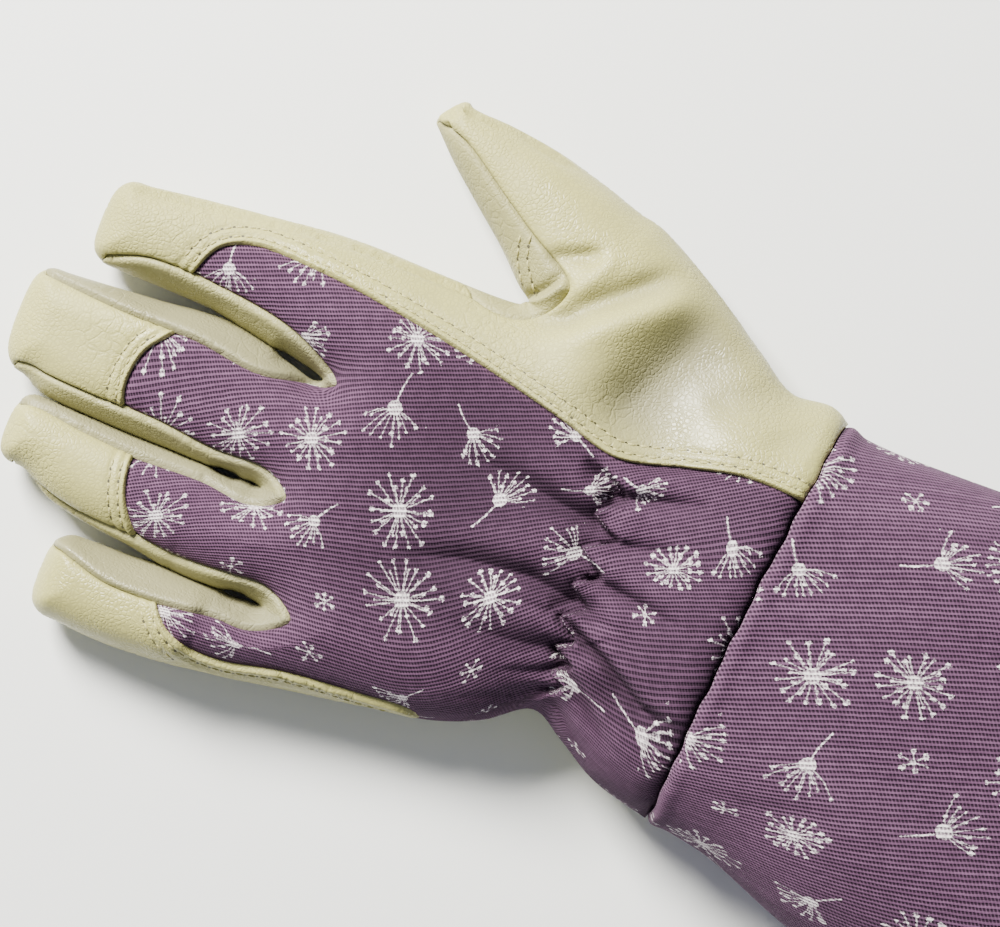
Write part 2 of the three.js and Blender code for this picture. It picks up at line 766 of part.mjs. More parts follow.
// The triangles of one region of the outer surface.
function sheetOf(area, onTop, opened = (p) => p) {
  const PASSES = 4;
  const polygons = area.toPolygons();
  const rings = polygons.map((ring) => borderPoints(ring));
  const inner = [];
  for (const p of PLACES[onTop ? "top" : "under"]) {
    if (!insidePolygons(polygons, p.x, p.y)) continue;
    const { distance } = nearestEdge(p.x, p.y);
    const clear = Math.min(CLEARANCE.most, CLEARANCE.least + distance * CLEARANCE.growth);
    if (distanceToBorder(rings.flat(), p.x, p.y) > clear && distanceToBorder(inner, p.x, p.y) > clear)
      inner.push(p);
  }
  let plan = [];
  let triangles = [];
  for (let pass = 0; pass < PASSES; pass++) {
    plan = [...rings.flat(), ...inner];
    triangles = delaunay(plan.map(opened));
    if (pass === PASSES - 1 || !splitMissing(rings, triangles)) break;
  }
  const moved = plan.map(opened);
  const border = rings.map((ring) => ring.map(opened).map((p) => [p.x, p.y]));
  triangles = triangles.filter(([a, b, c]) => {
    const x = (moved[a].x + moved[b].x + moved[c].x) / 3;
    const y = (moved[a].y + moved[b].y + moved[c].y) / 3;
    return insidePolygons(border, x, y);
  });
  return { plan, triangles, onTop };
}

// One closed solid from sheets of the outer surface that join along the outline, given a wall inwards.
function pieceGeometry(areas, wall, opened) {
  const sheets = areas.map(({ area, onTop }) => sheetOf(area, onTop, opened));
  const outer = [];
  const normals = [];
  const edgeUse = [];
  const found = new Map();
  const faces = [];
  for (const sheet of sheets) {
    const use = sheet.onTop ? 1 : 2;
    const numbers = sheet.plan.map((p) => {
      const { point, normal, atEdge } = surface(p.x, p.y, sheet.onTop);
      const name = `${p.x.toFixed(3)},${p.y.toFixed(3)}`;
      if (atEdge && found.has(name)) {
        edgeUse[found.get(name)] |= use;
        return found.get(name);
      }
      const number = outer.length;
      outer.push(point);
      normals.push(normal);
      edgeUse.push(atEdge ? use : 0);
      if (atEdge) found.set(name, number);
      return number;
    });
    for (const [a, b, c] of sheet.triangles) {
      const face = (sheet.onTop ? [a, b, c] : [a, c, b]).map((i) => numbers[i]);
      const flat = face.every((i) => edgeUse[i] > 0);
      if (!flat) faces.push(face);
    }
  }
  outer.forEach((point, i) => {
    if (edgeUse[i] === 1) point.z += SEAM_GAP / 2;
    if (edgeUse[i] === 2) point.z -= SEAM_GAP / 2;
  });
  const inner = outer.map((point, i) => point.clone().addScaledVector(normals[i], -wall));
  const shift = outer.length;
  const index = [];
  const open = new Map();
  for (const [a, b, c] of faces) {
    index.push(a, b, c, a + shift, c + shift, b + shift);
    for (const [from, to] of [[a, b], [b, c], [c, a]]) {
      if (!open.delete(`${to},${from}`)) open.set(`${from},${to}`, [from, to]);
    }
  }
  for (const [from, to] of open.values()) {
    index.push(from, from + shift, to + shift, from, to + shift, to);
  }
  const geometry = new THREE.BufferGeometry();
  geometry.setFromPoints([...outer, ...inner]);
  geometry.setIndex(index);
  return geometry;
}

// X of the gauntlet at a share of its length from the wrist seam.
function cuffX(share, y) {
  return mix(column(WRIST_SEAM, "y", "x", y) + SEAM_GAP / 2, HEM_X, share);
}

// Y where the gauntlet meets the outline, on the thumb's side or the little finger's.
function cuffEdgeY(share, towardsThumb) {
  const PASSES = 8;
  const WRIST_X = 40; // the sides past this are the gauntlet's
  const wristRow = (towardsThumb ? THUMB_EDGE : LITTLE_EDGE).find((row) => row.x > WRIST_X);
  let y = wristRow.y;
  for (let pass = 0; pass < PASSES; pass++) {
    const x = cuffX(share, y);
    for (let i = 0; i + 1 < outline.length; i++) {
      const [a, b] = [outline[i], outline[i + 1]];
      const sameSide = a.x > WRIST_X && a.y > 0 === towardsThumb;
      const t = (x - a.x) / (b.x - a.x);
      if (sameSide && t >= 0 && t <= 1) y = mix(a.y, b.y, t);
    }
  }
  return y;
}

// The gauntlet: rings of points from the wrist seam to the hem, outside and inside.
function cuffGeometry() {
  const ACROSS = 15;
  const STATIONS = [0, 0.04, 0.1, 0.18, 0.28, 0.4, 0.54, 0.68, 0.82, 0.908, 0.914, 1];
  const outer = [];
  const inner = [];
  const around = 2 * ACROSS;
  for (const share of STATIONS) {
    const high = cuffEdgeY(share, true);
    const low = cuffEdgeY(share, false);
    for (let i = 0; i < around; i++) {
      const onTop = i < ACROSS;
      const across = (1 - Math.cos((Math.PI * (i % ACROSS)) / ACROSS)) / 2;
      const y = onTop ? mix(high, low, across) : mix(low, high, across);
      const x = cuffX(share, y);
      const { point, normal } = surface(x, y, onTop);
      const wall = x > HEM_X - HEM_DEPTH ? HEM : FABRIC;
      outer.push(point);
      inner.push(point.clone().addScaledVector(normal, -wall));
    }
  }
  const index = [];
  const shift = outer.length;
  const quad = (a, b, c, d) => index.push(a, b, c, a, c, d);
  const last = (STATIONS.length - 1) * around;
  for (let i = 0; i < around; i++) {
    const next = (i + 1) % around;
    for (let k = 0; k + 1 < STATIONS.length; k++) {
      const from = k * around;
      const to = from + around;
      quad(from + i, from + next, to + next, to + i);
      quad(shift + from + i, shift + to + i, shift + to + next, shift + from + next);
    }
    quad(i, shift + i, shift + next, next);
    quad(last + i, last + next, shift + last + next, shift + last + i);
  }
  const geometry = new THREE.BufferGeometry();
  geometry.setFromPoints([...outer, ...inner]);
  geometry.setIndex(index);
  return geometry;
}

const glove = new THREE.Group();

function addPiece(name, geometry, kind) {
  const leather = kind === "leather";
  const material = new THREE.MeshStandardMaterial({
    color: COLOURS[kind],
    roughness: leather ? 0.45 : 0.9,
    metalness: 0,
  });
  geometry.computeVertexNormals();
  const mesh = new THREE.Mesh(geometry, material);
  mesh.name = name;
  glove.add(mesh);
}

for (const [name, area] of Object.entries(topAreas)) {
  const kind = name === "back_fabric" ? "fabric" : "leather";
  addPiece(name, pieceGeometry([{ area, onTop: true }], kind === "fabric" ? FABRIC : LEATHER), kind);
}

FOURCHETTES.forEach((strip, i) => {
  const areas = [
    { area: handArea.intersect(stripsOnTop[i]), onTop: true },
    { area: handArea.intersect(stripsUnder[i]), onTop: false },
  ];
  addPiece(strip.name, pieceGeometry(areas, LEATHER, gapOpener(strip)), "leather");
});

const thumbFrontAreas = [
  { area: handArea.intersect(thumbFrontTop), onTop: true },
  { area: handArea.intersect(thumbFrontUnder), onTop: false },
];
addPiece("thumb_front", pieceGeometry(thumbFrontAreas, LEATHER), "leather");

const palmArea = without(handArea, [...stripsUnder, thumbFrontUnder]);
addPiece("palm", pieceGeometry([{ area: palmArea, onTop: false }], LEATHER), "leather");

addPiece("cuff", cuffGeometry(), "fabric");

export default glove;
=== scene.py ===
import math

import bmesh
import bpy
import numpy as np
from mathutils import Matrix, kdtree
from mathutils.geometry import delaunay_2d_cdt


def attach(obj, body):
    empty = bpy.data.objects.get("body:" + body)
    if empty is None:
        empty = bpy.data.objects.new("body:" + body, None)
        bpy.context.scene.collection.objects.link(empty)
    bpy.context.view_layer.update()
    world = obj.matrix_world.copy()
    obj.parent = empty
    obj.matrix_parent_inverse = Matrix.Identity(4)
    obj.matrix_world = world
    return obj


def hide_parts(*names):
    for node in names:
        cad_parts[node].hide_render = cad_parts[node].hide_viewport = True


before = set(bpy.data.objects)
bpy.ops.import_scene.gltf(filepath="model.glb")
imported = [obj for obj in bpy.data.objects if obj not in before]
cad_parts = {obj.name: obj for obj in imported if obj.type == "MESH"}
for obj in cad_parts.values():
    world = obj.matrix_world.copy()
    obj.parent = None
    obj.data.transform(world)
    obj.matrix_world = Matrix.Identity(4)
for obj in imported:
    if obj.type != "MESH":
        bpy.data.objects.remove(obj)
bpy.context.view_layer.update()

# Camera: straight down on the back of the hand from 70 centimetres, turned so that the fingers
# point to the left and a little up. It takes in the hand and the first part of the gauntlet.
MM = 0.001
VIEW_TURN = math.radians(22)
VIEW_CENTRE = (1.4, 15.9)
VIEW_WIDTH = 248.6
VIEW_DISTANCE = 720
VIEW_LEVEL = 15
SENSOR = 36
NEAREST_SEEN = 0.01
FARTHEST_SEEN = 20
camera_data = bpy.data.cameras.new("camera")
camera_data.sensor_width = SENSOR
camera_data.lens = SENSOR * VIEW_DISTANCE / VIEW_WIDTH
camera_data.clip_start = NEAREST_SEEN
camera_data.clip_end = FARTHEST_SEEN
camera = bpy.data.objects.new("camera", camera_data)
camera.location = (VIEW_CENTRE[0] * MM, VIEW_CENTRE[1] * MM, (VIEW_DISTANCE + VIEW_LEVEL) * MM)
camera.rotation_euler = (0, 0, VIEW_TURN)
bpy.context.scene.collection.objects.link(camera)
bpy.context.scene.camera = camera

# Table and light: a broad plain white board in a bright room. The room gives an even white
# light, and a soft lamp stands beyond the finger tips on the thumb's side.
FLOOR_HALF = 3.0
FLOOR_LEVEL = -0.0004
BOARD_COLOUR = (0.91, 0.93, 0.95, 1)
BOARD_ROUGHNESS = 0.9
BOARD_SHINE = 0.1
SKY_STRENGTH = 0.31
LAMP_SIZE = 0.5
LAMP_POWER = 100.0
LAMP_PLACE = (-0.9, 0.67, 0.88)
LAMP_COLOUR = (1.0, 0.968, 0.87)
ROOM_COLOUR = (0.94, 0.98, 1.07, 1)


def stand(name, data):
    """A new object in the scene."""
    made = bpy.data.objects.new(name, data)
    bpy.context.scene.collection.objects.link(made)
    return made


def new_material(name):
    """A new material, its node tree and the shader in it."""
    made = bpy.data.materials.new(name)
    made.use_nodes = True
    return made, made.node_tree, made.node_tree.nodes["Principled BSDF"]


floor_mesh = bpy.data.meshes.new("floor")
floor_corners = [(FLOOR_HALF * x, FLOOR_HALF * y, FLOOR_LEVEL)
                 for x, y in ((-1, -1), (1, -1), (1, 1), (-1, 1))]
floor_mesh.from_pydata(floor_corners, [], [(0, 1, 2, 3)])
stand("floor", floor_mesh)
board, _, board_shader = new_material("white_board")
board_shader.inputs["Base Color"].default_value = BOARD_COLOUR
board_shader.inputs["Roughness"].default_value = BOARD_ROUGHNESS
board_shader.inputs["Specular IOR Level"].default_value = BOARD_SHINE
floor_mesh.materials.append(board)

room = bpy.data.worlds.new("room")
room.use_nodes = True
room.node_tree.nodes["Background"].inputs["Color"].default_value = ROOM_COLOUR
room.node_tree.nodes["Background"].inputs["Strength"].default_value = SKY_STRENGTH
bpy.context.scene.world = room

lamp_data = bpy.data.lights.new("lamp", "AREA")
lamp_data.shape = "SQUARE"
lamp_data.size = LAMP_SIZE
lamp_data.energy = LAMP_POWER
lamp_data.color = LAMP_COLOUR
lamp = stand("lamp", lamp_data)
lamp.location = LAMP_PLACE
lamp_tilt = math.acos(LAMP_PLACE[2] / math.hypot(*LAMP_PLACE))
lamp.rotation_euler = (lamp_tilt, 0, math.atan2(-LAMP_PLACE[1], -LAMP_PLACE[0]) - math.pi / 2)

# Leather panels of the back: the broad one runs from the index finger over the thumb to the
# wrist, and the others cap the middle and ring fingers and clothe the little finger's side.
# They are cream leather with a pebbled grain, folded at the edge, lapped and sewn on the fabric.

# The glove's outline in plan, in millimetres: each digit by its tip, its direction in degrees and
# its half breadths at distances from the tip, then the ends of the gaps, then the hand's edges.
DIGITS = {
    "thumb": dict(tip=(-43.4, 93.9), direction=-38, along=[3, 12, 24, 36.5, 47],
                  thumb_side=[5.0, 11.2, 18.2, 23.8, 27.8], little_side=[5.2, 6.1, 6.4, 6.6, 7.6]),
    "index": dict(tip=(-114.2, 35.0), direction=0, along=[9, 22, 38, 60],
                  thumb_side=[12.6, 14.5, 16.6, 19.1], little_side=[9.9, 10, 10.6, 14.3]),
    "middle": dict(tip=(-125.0, 8.0), direction=0, along=[9, 17, 33, 47, 68],
                   thumb_side=[11.8, 12.5, 14, 15.4, 11.6], little_side=[15.8, 18.3, 19.3, 19.2, 19.2]),
    "ring": dict(tip=(-117.0, -21.5), direction=0, along=[8, 17, 32, 62],
                 thumb_side=[9.4, 9.2, 8.8, 8.9], little_side=[8.4, 12.9, 15.6, 17.4]),
    "little": dict(tip=(-95.6, -52.0), direction=0, along=[9, 20, 34, 50],
                   thumb_side=[11.6, 11.8, 11.4, 12.2], little_side=[10.3, 10.9, 10.1, 7.9]),
}
TIP_POWER = 3.3
CROTCHES = [(-6.8, 55.4), (-47.5, 18.7), (-51.5, -11.9), (-40.5, -39.3)]
THUMB_EDGE = [(17.2, 85.4), (37.2, 74.8), (51.4, 65.5), (61.8, 59.0), (72.5, 59.6), (80, 55.9), (88, 54.9),
              (120, 55.6), (180, 58), (250, 61), (320, 64)]
LITTLE_EDGE = [(-27, -56.5), (-8, -53), (9, -49.8), (21, -45), (32, -37.6), (41, -42), (52, -48.1),
               (66, -51.6), (84, -54.6), (112, -64.2), (180, -79), (250, -89), (320, -97)]
# Heights of the filled-out form along the hand and along the thumb: its top, its widest line and its
# underside, and how far in from the outline the rounding reaches above and below.
SECTION_X = [-126, -104, -78, -50, -22, 8, 33, 54, 75, 115, 320]
SECTION = {
    "top": [15.5, 18.5, 21, 26, 32, 37, 37, 42, 45, 50, 58],
    "side": [7.5, 8.5, 9.5, 11, 13, 15, 16, 18, 20, 22, 26],
    "under": [1.6, 1.6, 1.4, 0.8, 0, 0, 1.4, 1, 0.6, 0, 0],
    "top_roll": [10, 11, 12.5, 16, 22, 26, 26, 27, 28, 36, 50],
    "under_roll": [8, 8, 9, 10, 12, 14, 15, 16, 17, 24, 36],
}
THUMB_ALONG = [0, 16, 37, 60, 90, 150]
THUMB_SECTION = {
    "top": [14.5, 19, 24, 29, 37, 45],
    "side": [7.5, 8.5, 10, 12, 15, 20],
    "top_roll": [7, 9.5, 13, 18, 25, 28],
}
DOME = 3.5
DOME_SPAN = 50
# Seams in plan, and how finely the panels are cut up beside them.
SIDE_LEATHER_SEAM = [(-88, 24), (-85.8, 33), (-82.4, 39.6), (-75, 43.3), (-58, 43.3), (-36, 40.9),
                     (-12, 36.6), (11.7, 31.1), (27, 27.6), (43.8, 31.7), (58, 34.9), (84, 34.2)]
MIDDLE_TIP_SEAM = [(-82.5, 24), (-85.5, 15.9), (-90.4, 8.4), (-91.7, 0.1), (-90, -7), (-87, -12)]
RING_TIP_SEAM = [(-83.6, -12), (-83.2, -19.6), (-80.9, -27.3), (-76.4, -34.4), (-72, -38.5)]
LITTLE_SIDE_SEAM = [(-67, -40.6), (-63.9, -47.4), (-59.7, -52.4), (-53, -55.6), (-44, -55.8), (-30, -52.6),
                    (-10, -50.6), (4, -49.8), (14, -53)]
WRIST_SEAM_Y = [-80, -47, -26, 0, 22, 42, 54, 80]
WRIST_SEAM_X = [68, 67.3, 67.4, 69, 71, 73.6, 76.4, 84]
WRIST_WAVE = 0.22
WRIST_WAVE_LENGTH = 2.9
WRIST_RIPPLE = 0.14
WRIST_RIPPLE_LENGTH = 1.3
BEYOND_TIPS = -140
BEYOND_THUMB = 130
BEYOND_SIDES = 80
BEYOND_MOUTH = 400
HAND_END = 92
EDGE_STEP = 0.95
GRID_STEP = {True: 0.9, False: 1.9}
OUTLINE_HOLD = 1.5
CREASE_STEP = 0.5
CREASE_ROWS = [-2.2, -1.5, -0.95, -0.5, -0.22, 0.22, 0.5, 0.95, 1.5, 2.2]
SEAM_ROWS = [0.22, 0.5, 0.85, 1.25, 1.65, 2.1, 2.6, 3.15, 3.7, 4.3, 5.0]
RING_TURNS = np.radians([9, 18, 28, 38, 48, 58, 68, 79])

# Valleys of the gathers, where the elastic draws the fabric up: their line from the elastic on, depth
# and half breadth. Soft folds and swells of the whole glove: start, end, height, and half breadth
# above and below.
GATHER_VALLEYS = [
    ([(28.5, 11.0), (10.7, 13.5), (-6.2, 15.3)], 3.4, 3.8),
    ([(30.4, 18.8), (20.4, 25.0)], 2.8, 2.6),
    ([(32.7, -0.8), (23.1, 5.0)], 2.2, 2.2),
    ([(34.4, -9.0), (18.9, -6.7), (2.2, -8.8), (-14.5, -14.2)], 3.8, 3.6),
    ([(30.8, -8.1), (25.4, -12.9), (14.7, -12.9)], 1.4, 2.0),
    ([(34.9, -18.3), (30.9, -21.2), (19.3, -23.0), (1.5, -25.0)], 2.2, 3.8),
    ([(34.3, -24.2), (30.0, -27.5), (18.1, -31.5)], 1.3, 1.5),
    ([(34.6, -30.8), (31.6, -31.5), (23.0, -36.8), (9.3, -43.1)], 0.8, 1.3),
    ([(30.3, 19.0), (39.9, 21.5), (52.8, 25.4)], 3.2, 2.2),
    ([(34.9, 8.4), (46.7, 11.3), (54.1, 13.0)], 1.5, 2.0),
    ([(34.3, -1.5), (48.0, -3.3), (56.4, -4.7)], 3.0, 2.2),
    ([(30.1, -13.2), (42.8, -19.1), (55.1, -26.3), (66.2, -27.7)], 4.4, 1.3),
    ([(31.9, -21.6), (43.1, -31.1), (52.9, -40.1)], 3.2, 1.5),
    ([(34.0, -32.1), (42.2, -39.0), (51.1, -45.1)], 2.4, 1.6),
]
SOFT_FOLDS = [
    (-6, 67.5, 5, 72.5, -2.0, 1.8, 2.8), (2, 60, 9, 73, 1.0, 2.4, 2.6), (1.7, 54, 23.7, 74, -3.2, 3.2, 3.8),
    (5, 50.5, 30, 70, 1.8, 3.8, 5.0), (24, 35, 40, 69, -6.8, 9.5, 18), (44, 49, 58, 57, -1.0, 3, 5),
    (60, 44, 73, 53, -0.9, 3, 4), (-4, 51.2, 6, 56, -1.8, 2, 3),
    (-48, 26, -46, -40, 1.6, 13, 16), (-2, 34, 0, -40, -4.2, 26, 22), (-60, 4, -20, 2, -0.5, 5, 6),
    (-58, -25, -25, -22, -0.5, 5, 5), (44, -24, 68, -33, -3.4, 4, 8),
    (88, 28, 150, 12, -0.9, 5, 9), (96, -16, 170, -38, -1.0, 6, 10), (120, 40, 210, 34, -0.9, 6, 10),
    (84, -40, 104, -34, -0.9, 4, 6), (150, 0, 240, 8, -0.9, 8, 12), (78, 4, 92, 0, -0.6, 4, 5),
]
VIEW_UP = (-math.sin(VIEW_TURN), math.cos(VIEW_TURN))


def along_rows(keys, values, at):
    """Values on a smooth curve through the rows of a table."""
    keys = np.asarray(keys, float)
    values = np.asarray(values, float)
    at = np.asarray(at, float)
    last = len(keys) - 1
    i = np.clip(np.searchsorted(keys[1:], at, side="left"), 0, last - 1)
    before = np.maximum(0, i - 1)
    after = np.minimum(last, i + 2)
    span = keys[i + 1] - keys[i]
    t = np.clip((at - keys[i]) / span, 0, 1)
    slope_a = (values[i + 1] - values[before]) / (keys[i + 1] - keys[before]) * span
    slope_b = (values[after] - values[i]) / (keys[after] - keys[i]) * span
    t2 = t * t
    t3 = t2 * t
    return (values[i] * (2 * t3 - 3 * t2 + 1) + slope_a * (t3 - 2 * t2 + t)
            + values[i + 1] * (3 * t2 - 2 * t3) + slope_b * (t3 - t2))


def ease(low, high, value):
    """0 below low, 1 above high, smooth between."""
    t = np.clip((np.asarray(value, float) - low) / (high - low), 0, 1)
    return t * t * (3 - 2 * t)


def bulge(share):
    """Quarter circle: 0 at the edge, 1 from a share of 1 on."""
    return np.sqrt(np.maximum(0.0, 1 - (1 - np.clip(share, 0, 1)) ** 2))


def dent(away, half):
    """Bell curve of height 1."""
    return np.exp(-(away / half) ** 2)


def breadth(digit, side, along):
    """Half breadth of a digit at a distance from its tip, rounded off at the end."""
    first = digit["along"][0]
    rest = 1 - max(0.0, along) / first
    if rest <= 0:
        return float(along_rows(digit["along"], digit[side], along))
    return digit[side][0] * (1 - rest ** TIP_POWER) ** (1 / TIP_POWER)


def digit_point(digit, side, along):
    """Place on a digit's edge at a distance from its tip."""
    angle = math.radians(digit["direction"])
    across = breadth(digit, side, along) * (1 if side == "thumb_side" else -1)
    return (digit["tip"][0] + math.cos(angle) * along - math.sin(angle) * across,
            digit["tip"][1] + math.sin(angle) * along + math.cos(angle) * across)


def digit_edge(digit):
    """Edge of a digit from its root on the thumb's side, round the tip, to its root on the other."""
    tip_shares = [0.45, 0.12]
    start = digit["along"][0]
    points = [digit_point(digit, "thumb_side", a) for a in reversed(digit["along"])]
    points += [digit_point(digit, "thumb_side", start * share) for share in tip_shares]
    points.append(digit_point(digit, "thumb_side", 0))
    points += [digit_point(digit, "little_side", start * share) for share in reversed(tip_shares)]
    points += [digit_point(digit, "little_side", a) for a in digit["along"]]
    return points


def gap_end(crotch):
    """The rounded end of a gap between two fingers."""
    BACK = 2
    ASIDE = 0.9
    x, y = crotch
    return [(x - BACK, y + ASIDE), crotch, (x - BACK, y - ASIDE)]


def smooth_line(points, step, turn_limit=0.3):
    """Points on a smooth curve through the given ones, evenly spaced and closer in a bend."""
    PARTS = 24
    CLOSEST = 0.3
    given = np.array(points, float)
    ends = np.vstack([2 * given[0] - given[1], given, 2 * given[-1] - given[-2]])
    dense = []
    t = np.linspace(0, 1, PARTS + 1)[:-1, None]
    for a, b, c, d in zip(ends[:-3], ends[1:-2], ends[2:-1], ends[3:]):
        gap_0 = math.sqrt(np.linalg.norm(b - a))
        gap_1 = math.sqrt(np.linalg.norm(c - b))
        gap_2 = math.sqrt(np.linalg.norm(d - c))
        slope_b = ((b - a) / gap_0 - (c - a) / (gap_0 + gap_1) + (c - b) / gap_1) * gap_1
        slope_c = ((c - b) / gap_1 - (d - b) / (gap_1 + gap_2) + (d - c) / gap_2) * gap_1
        dense.append(b + slope_b * t + (3 * (c - b) - 2 * slope_b - slope_c) * t ** 2
                     + (2 * (b - c) + slope_b + slope_c) * t ** 3)
    dense = np.vstack([*dense, given[-1:]])
    kept = [dense[0]]
    length = 0.0
    turn = 0.0
    for before, here, after in zip(dense[:-2], dense[1:-1], dense[2:]):
        a = here - before
        b = after - here
        length += np.hypot(*a)
        turn += abs(math.atan2(a[0] * b[1] - a[1] * b[0], a @ b))
        if length > step or (turn > turn_limit and length > CLOSEST * step):
            kept.append(here)
            length = 0.0
            turn = 0.0
    kept.append(dense[-1])
    return np.array(kept)


outline = smooth_line(
    [*reversed(THUMB_EDGE), *digit_edge(DIGITS["thumb"]), CROTCHES[0], *digit_edge(DIGITS["index"]),
     *gap_end(CROTCHES[1]), *digit_edge(DIGITS["middle"]), *gap_end(CROTCHES[2]), *digit_edge(DIGITS["ring"]),
     *gap_end(CROTCHES[3]), *digit_edge(DIGITS["little"]), *LITTLE_EDGE], EDGE_STEP)
hand_outline = outline[outline[:, 0] < HAND_END]


def wrist_x(y):
    """X of the wrist seam, which a hand sewed a little unevenly."""
    wave = WRIST_WAVE * np.sin(y / WRIST_WAVE_LENGTH)
    ripple = WRIST_RIPPLE * np.sin(y / WRIST_RIPPLE_LENGTH + 1)
    return along_rows(WRIST_SEAM_Y, WRIST_SEAM_X, y) + wave + ripple


wrist_y = np.linspace(-BEYOND_SIDES, BEYOND_SIDES, 220)
wrist_line = np.column_stack([wrist_x(wrist_y), wrist_y])
side_seam = smooth_line(SIDE_LEATHER_SEAM, EDGE_STEP)
middle_seam = smooth_line(MIDDLE_TIP_SEAM, EDGE_STEP)
ring_seam = smooth_line(RING_TIP_SEAM, EDGE_STEP)
little_seam = smooth_line(LITTLE_SIDE_SEAM, EDGE_STEP)
# Areas of the panels: each seam, closed by corners that lie outside the glove.
side_corners = [(100, BEYOND_THUMB), (BEYOND_TIPS, BEYOND_THUMB), (BEYOND_TIPS, 24)]
little_corners = [(14, -BEYOND_SIDES), (BEYOND_TIPS, -BEYOND_SIDES), (BEYOND_TIPS, -39.6)]
side_area = np.vstack([side_seam, side_corners])
middle_area = np.vstack([middle_seam, [(BEYOND_TIPS, -11.6), (BEYOND_TIPS, 24)]])
ring_area = np.vstack([ring_seam, [(BEYOND_TIPS, -39.2), (BEYOND_TIPS, -11.6)]])
little_area = np.vstack([little_seam, little_corners])
gauntlet_area = np.vstack([wrist_line, [(BEYOND_MOUTH, BEYOND_SIDES), (BEYOND_MOUTH, -BEYOND_SIDES)]])
search_trees = {}


def nearest(line, places):
    """Distance from each place to a line, the foot of it, and which side the place lies on."""
    places = np.asarray(places, float)
    if id(line) not in search_trees:
        tree = kdtree.KDTree(len(line))
        for i, (x, y) in enumerate(line.tolist()):
            tree.insert((x, y, 0), i)
        tree.balance()
        search_trees[id(line)] = (tree, line)
    tree = search_trees[id(line)][0]
    corner = np.array([tree.find((x, y, 0))[1] for x, y in places.tolist()], int)
    distance = np.full(len(places), np.inf)
    foot = np.zeros((len(places), 2))
    on_left = np.zeros(len(places), bool)
    for first in (np.maximum(corner - 1, 0), np.minimum(corner, len(line) - 2)):
        a = line[first]
        along = line[first + 1] - a
        t = np.clip(((places - a) * along).sum(1) / (along ** 2).sum(1), 0, 1)
        feet = a + t[:, None] * along
        away = np.hypot(*(places - feet).T)
        better = away < distance - 1e-9
        distance[better] = away[better]
        foot[better] = feet[better]
        on_left[better] = (along[:, 0] * (places - a)[:, 1] - along[:, 1] * (places - a)[:, 0] > 0)[better]
    return distance, foot, on_left


def aside_of(line):
    """Unit directions to the left of a line at its points."""
    direction = np.gradient(line, axis=0)
    direction /= np.maximum(np.linalg.norm(direction, axis=1), 1e-9)[:, None]
    return np.column_stack([-direction[:, 1], direction[:, 0]])


def away_from(line, places):
    return nearest(line, places)[0]


def away_from_all(lines, places):
    return np.min([away_from(line, places) for line in lines], axis=0)


def in_glove(places):
    return nearest(outline, places)[2]


def inside(polygon, places):
    """True where a place lies in the polygon."""
    places = np.asarray(places, float)
    a = np.asarray(polygon, float)
    b = np.roll(a, -1, axis=0)
    found = np.zeros(len(places), bool)
    near = np.flatnonzero((places >= a.min(0)).all(1) & (places <= a.max(0)).all(1))
    x, y = places[near].T
    crossed = np.zeros(len(near), bool)
    for (ax, ay), (bx, by) in zip(a.tolist(), b.tolist()):
        if ay != by:
            crossed ^= ((ay > y) != (by > y)) & (x < (bx - ax) * (y - ay) / (by - ay) + ax)
    found[near] = crossed
    return found


def in_any(areas, places):
    found = np.zeros(len(places), bool)
    for area in areas:
        found |= inside(area, places)
    return found


def thumb_along(places):
    """Distance from the thumb's tip along its direction."""
    angle = math.radians(DIGITS["thumb"]["direction"])
    tip = DIGITS["thumb"]["tip"]
    return (places[:, 0] - tip[0]) * math.cos(angle) + (places[:, 1] - tip[1]) * math.sin(angle)


def half_breadth(digit, along):
    """Mean of a digit's two half breadths."""
    along = np.maximum(along, digit["along"][0])
    return (along_rows(digit["along"], digit["thumb_side"], along)
            + along_rows(digit["along"], digit["little_side"], along)) / 2


def finger_room(places):
    """Breadth that a finger leaves for the rounding of each side, and a large one past its root."""
    AMPLE = 60
    NO_LIMIT = 99.0
    SHARE_OF_HALF = 0.94
    LOWEST_THUMB_Y = 56
    # The lower and upper limit of Y, the finger between them and the gap that ends at its root.
    FINGER_ROWS = [(20.5, 99, "index", 1), (-11.9, 20.5, "middle", 1), (-39.3, -11.9, "ring", 2),
                   (-99, -39.3, "little", 3)]
    room = np.full(len(places), NO_LIMIT)
    for low, high, name, crotch in FINGER_ROWS:
        chosen = (places[:, 1] > low) & (places[:, 1] <= high)
        half = half_breadth(DIGITS[name], places[chosen, 0] - DIGITS[name]["tip"][0])
        root = CROTCHES[crotch][0]
        room[chosen] = half * SHARE_OF_HALF + AMPLE * ease(root - 16, root + 4, places[chosen, 0])
    along = thumb_along(places)
    on_thumb = places[:, 1] > LOWEST_THUMB_Y
    thumb_room = half_breadth(DIGITS["thumb"], along) * SHARE_OF_HALF + AMPLE * ease(34, 56, along)
    room[on_thumb] = thumb_room[on_thumb]
    return room


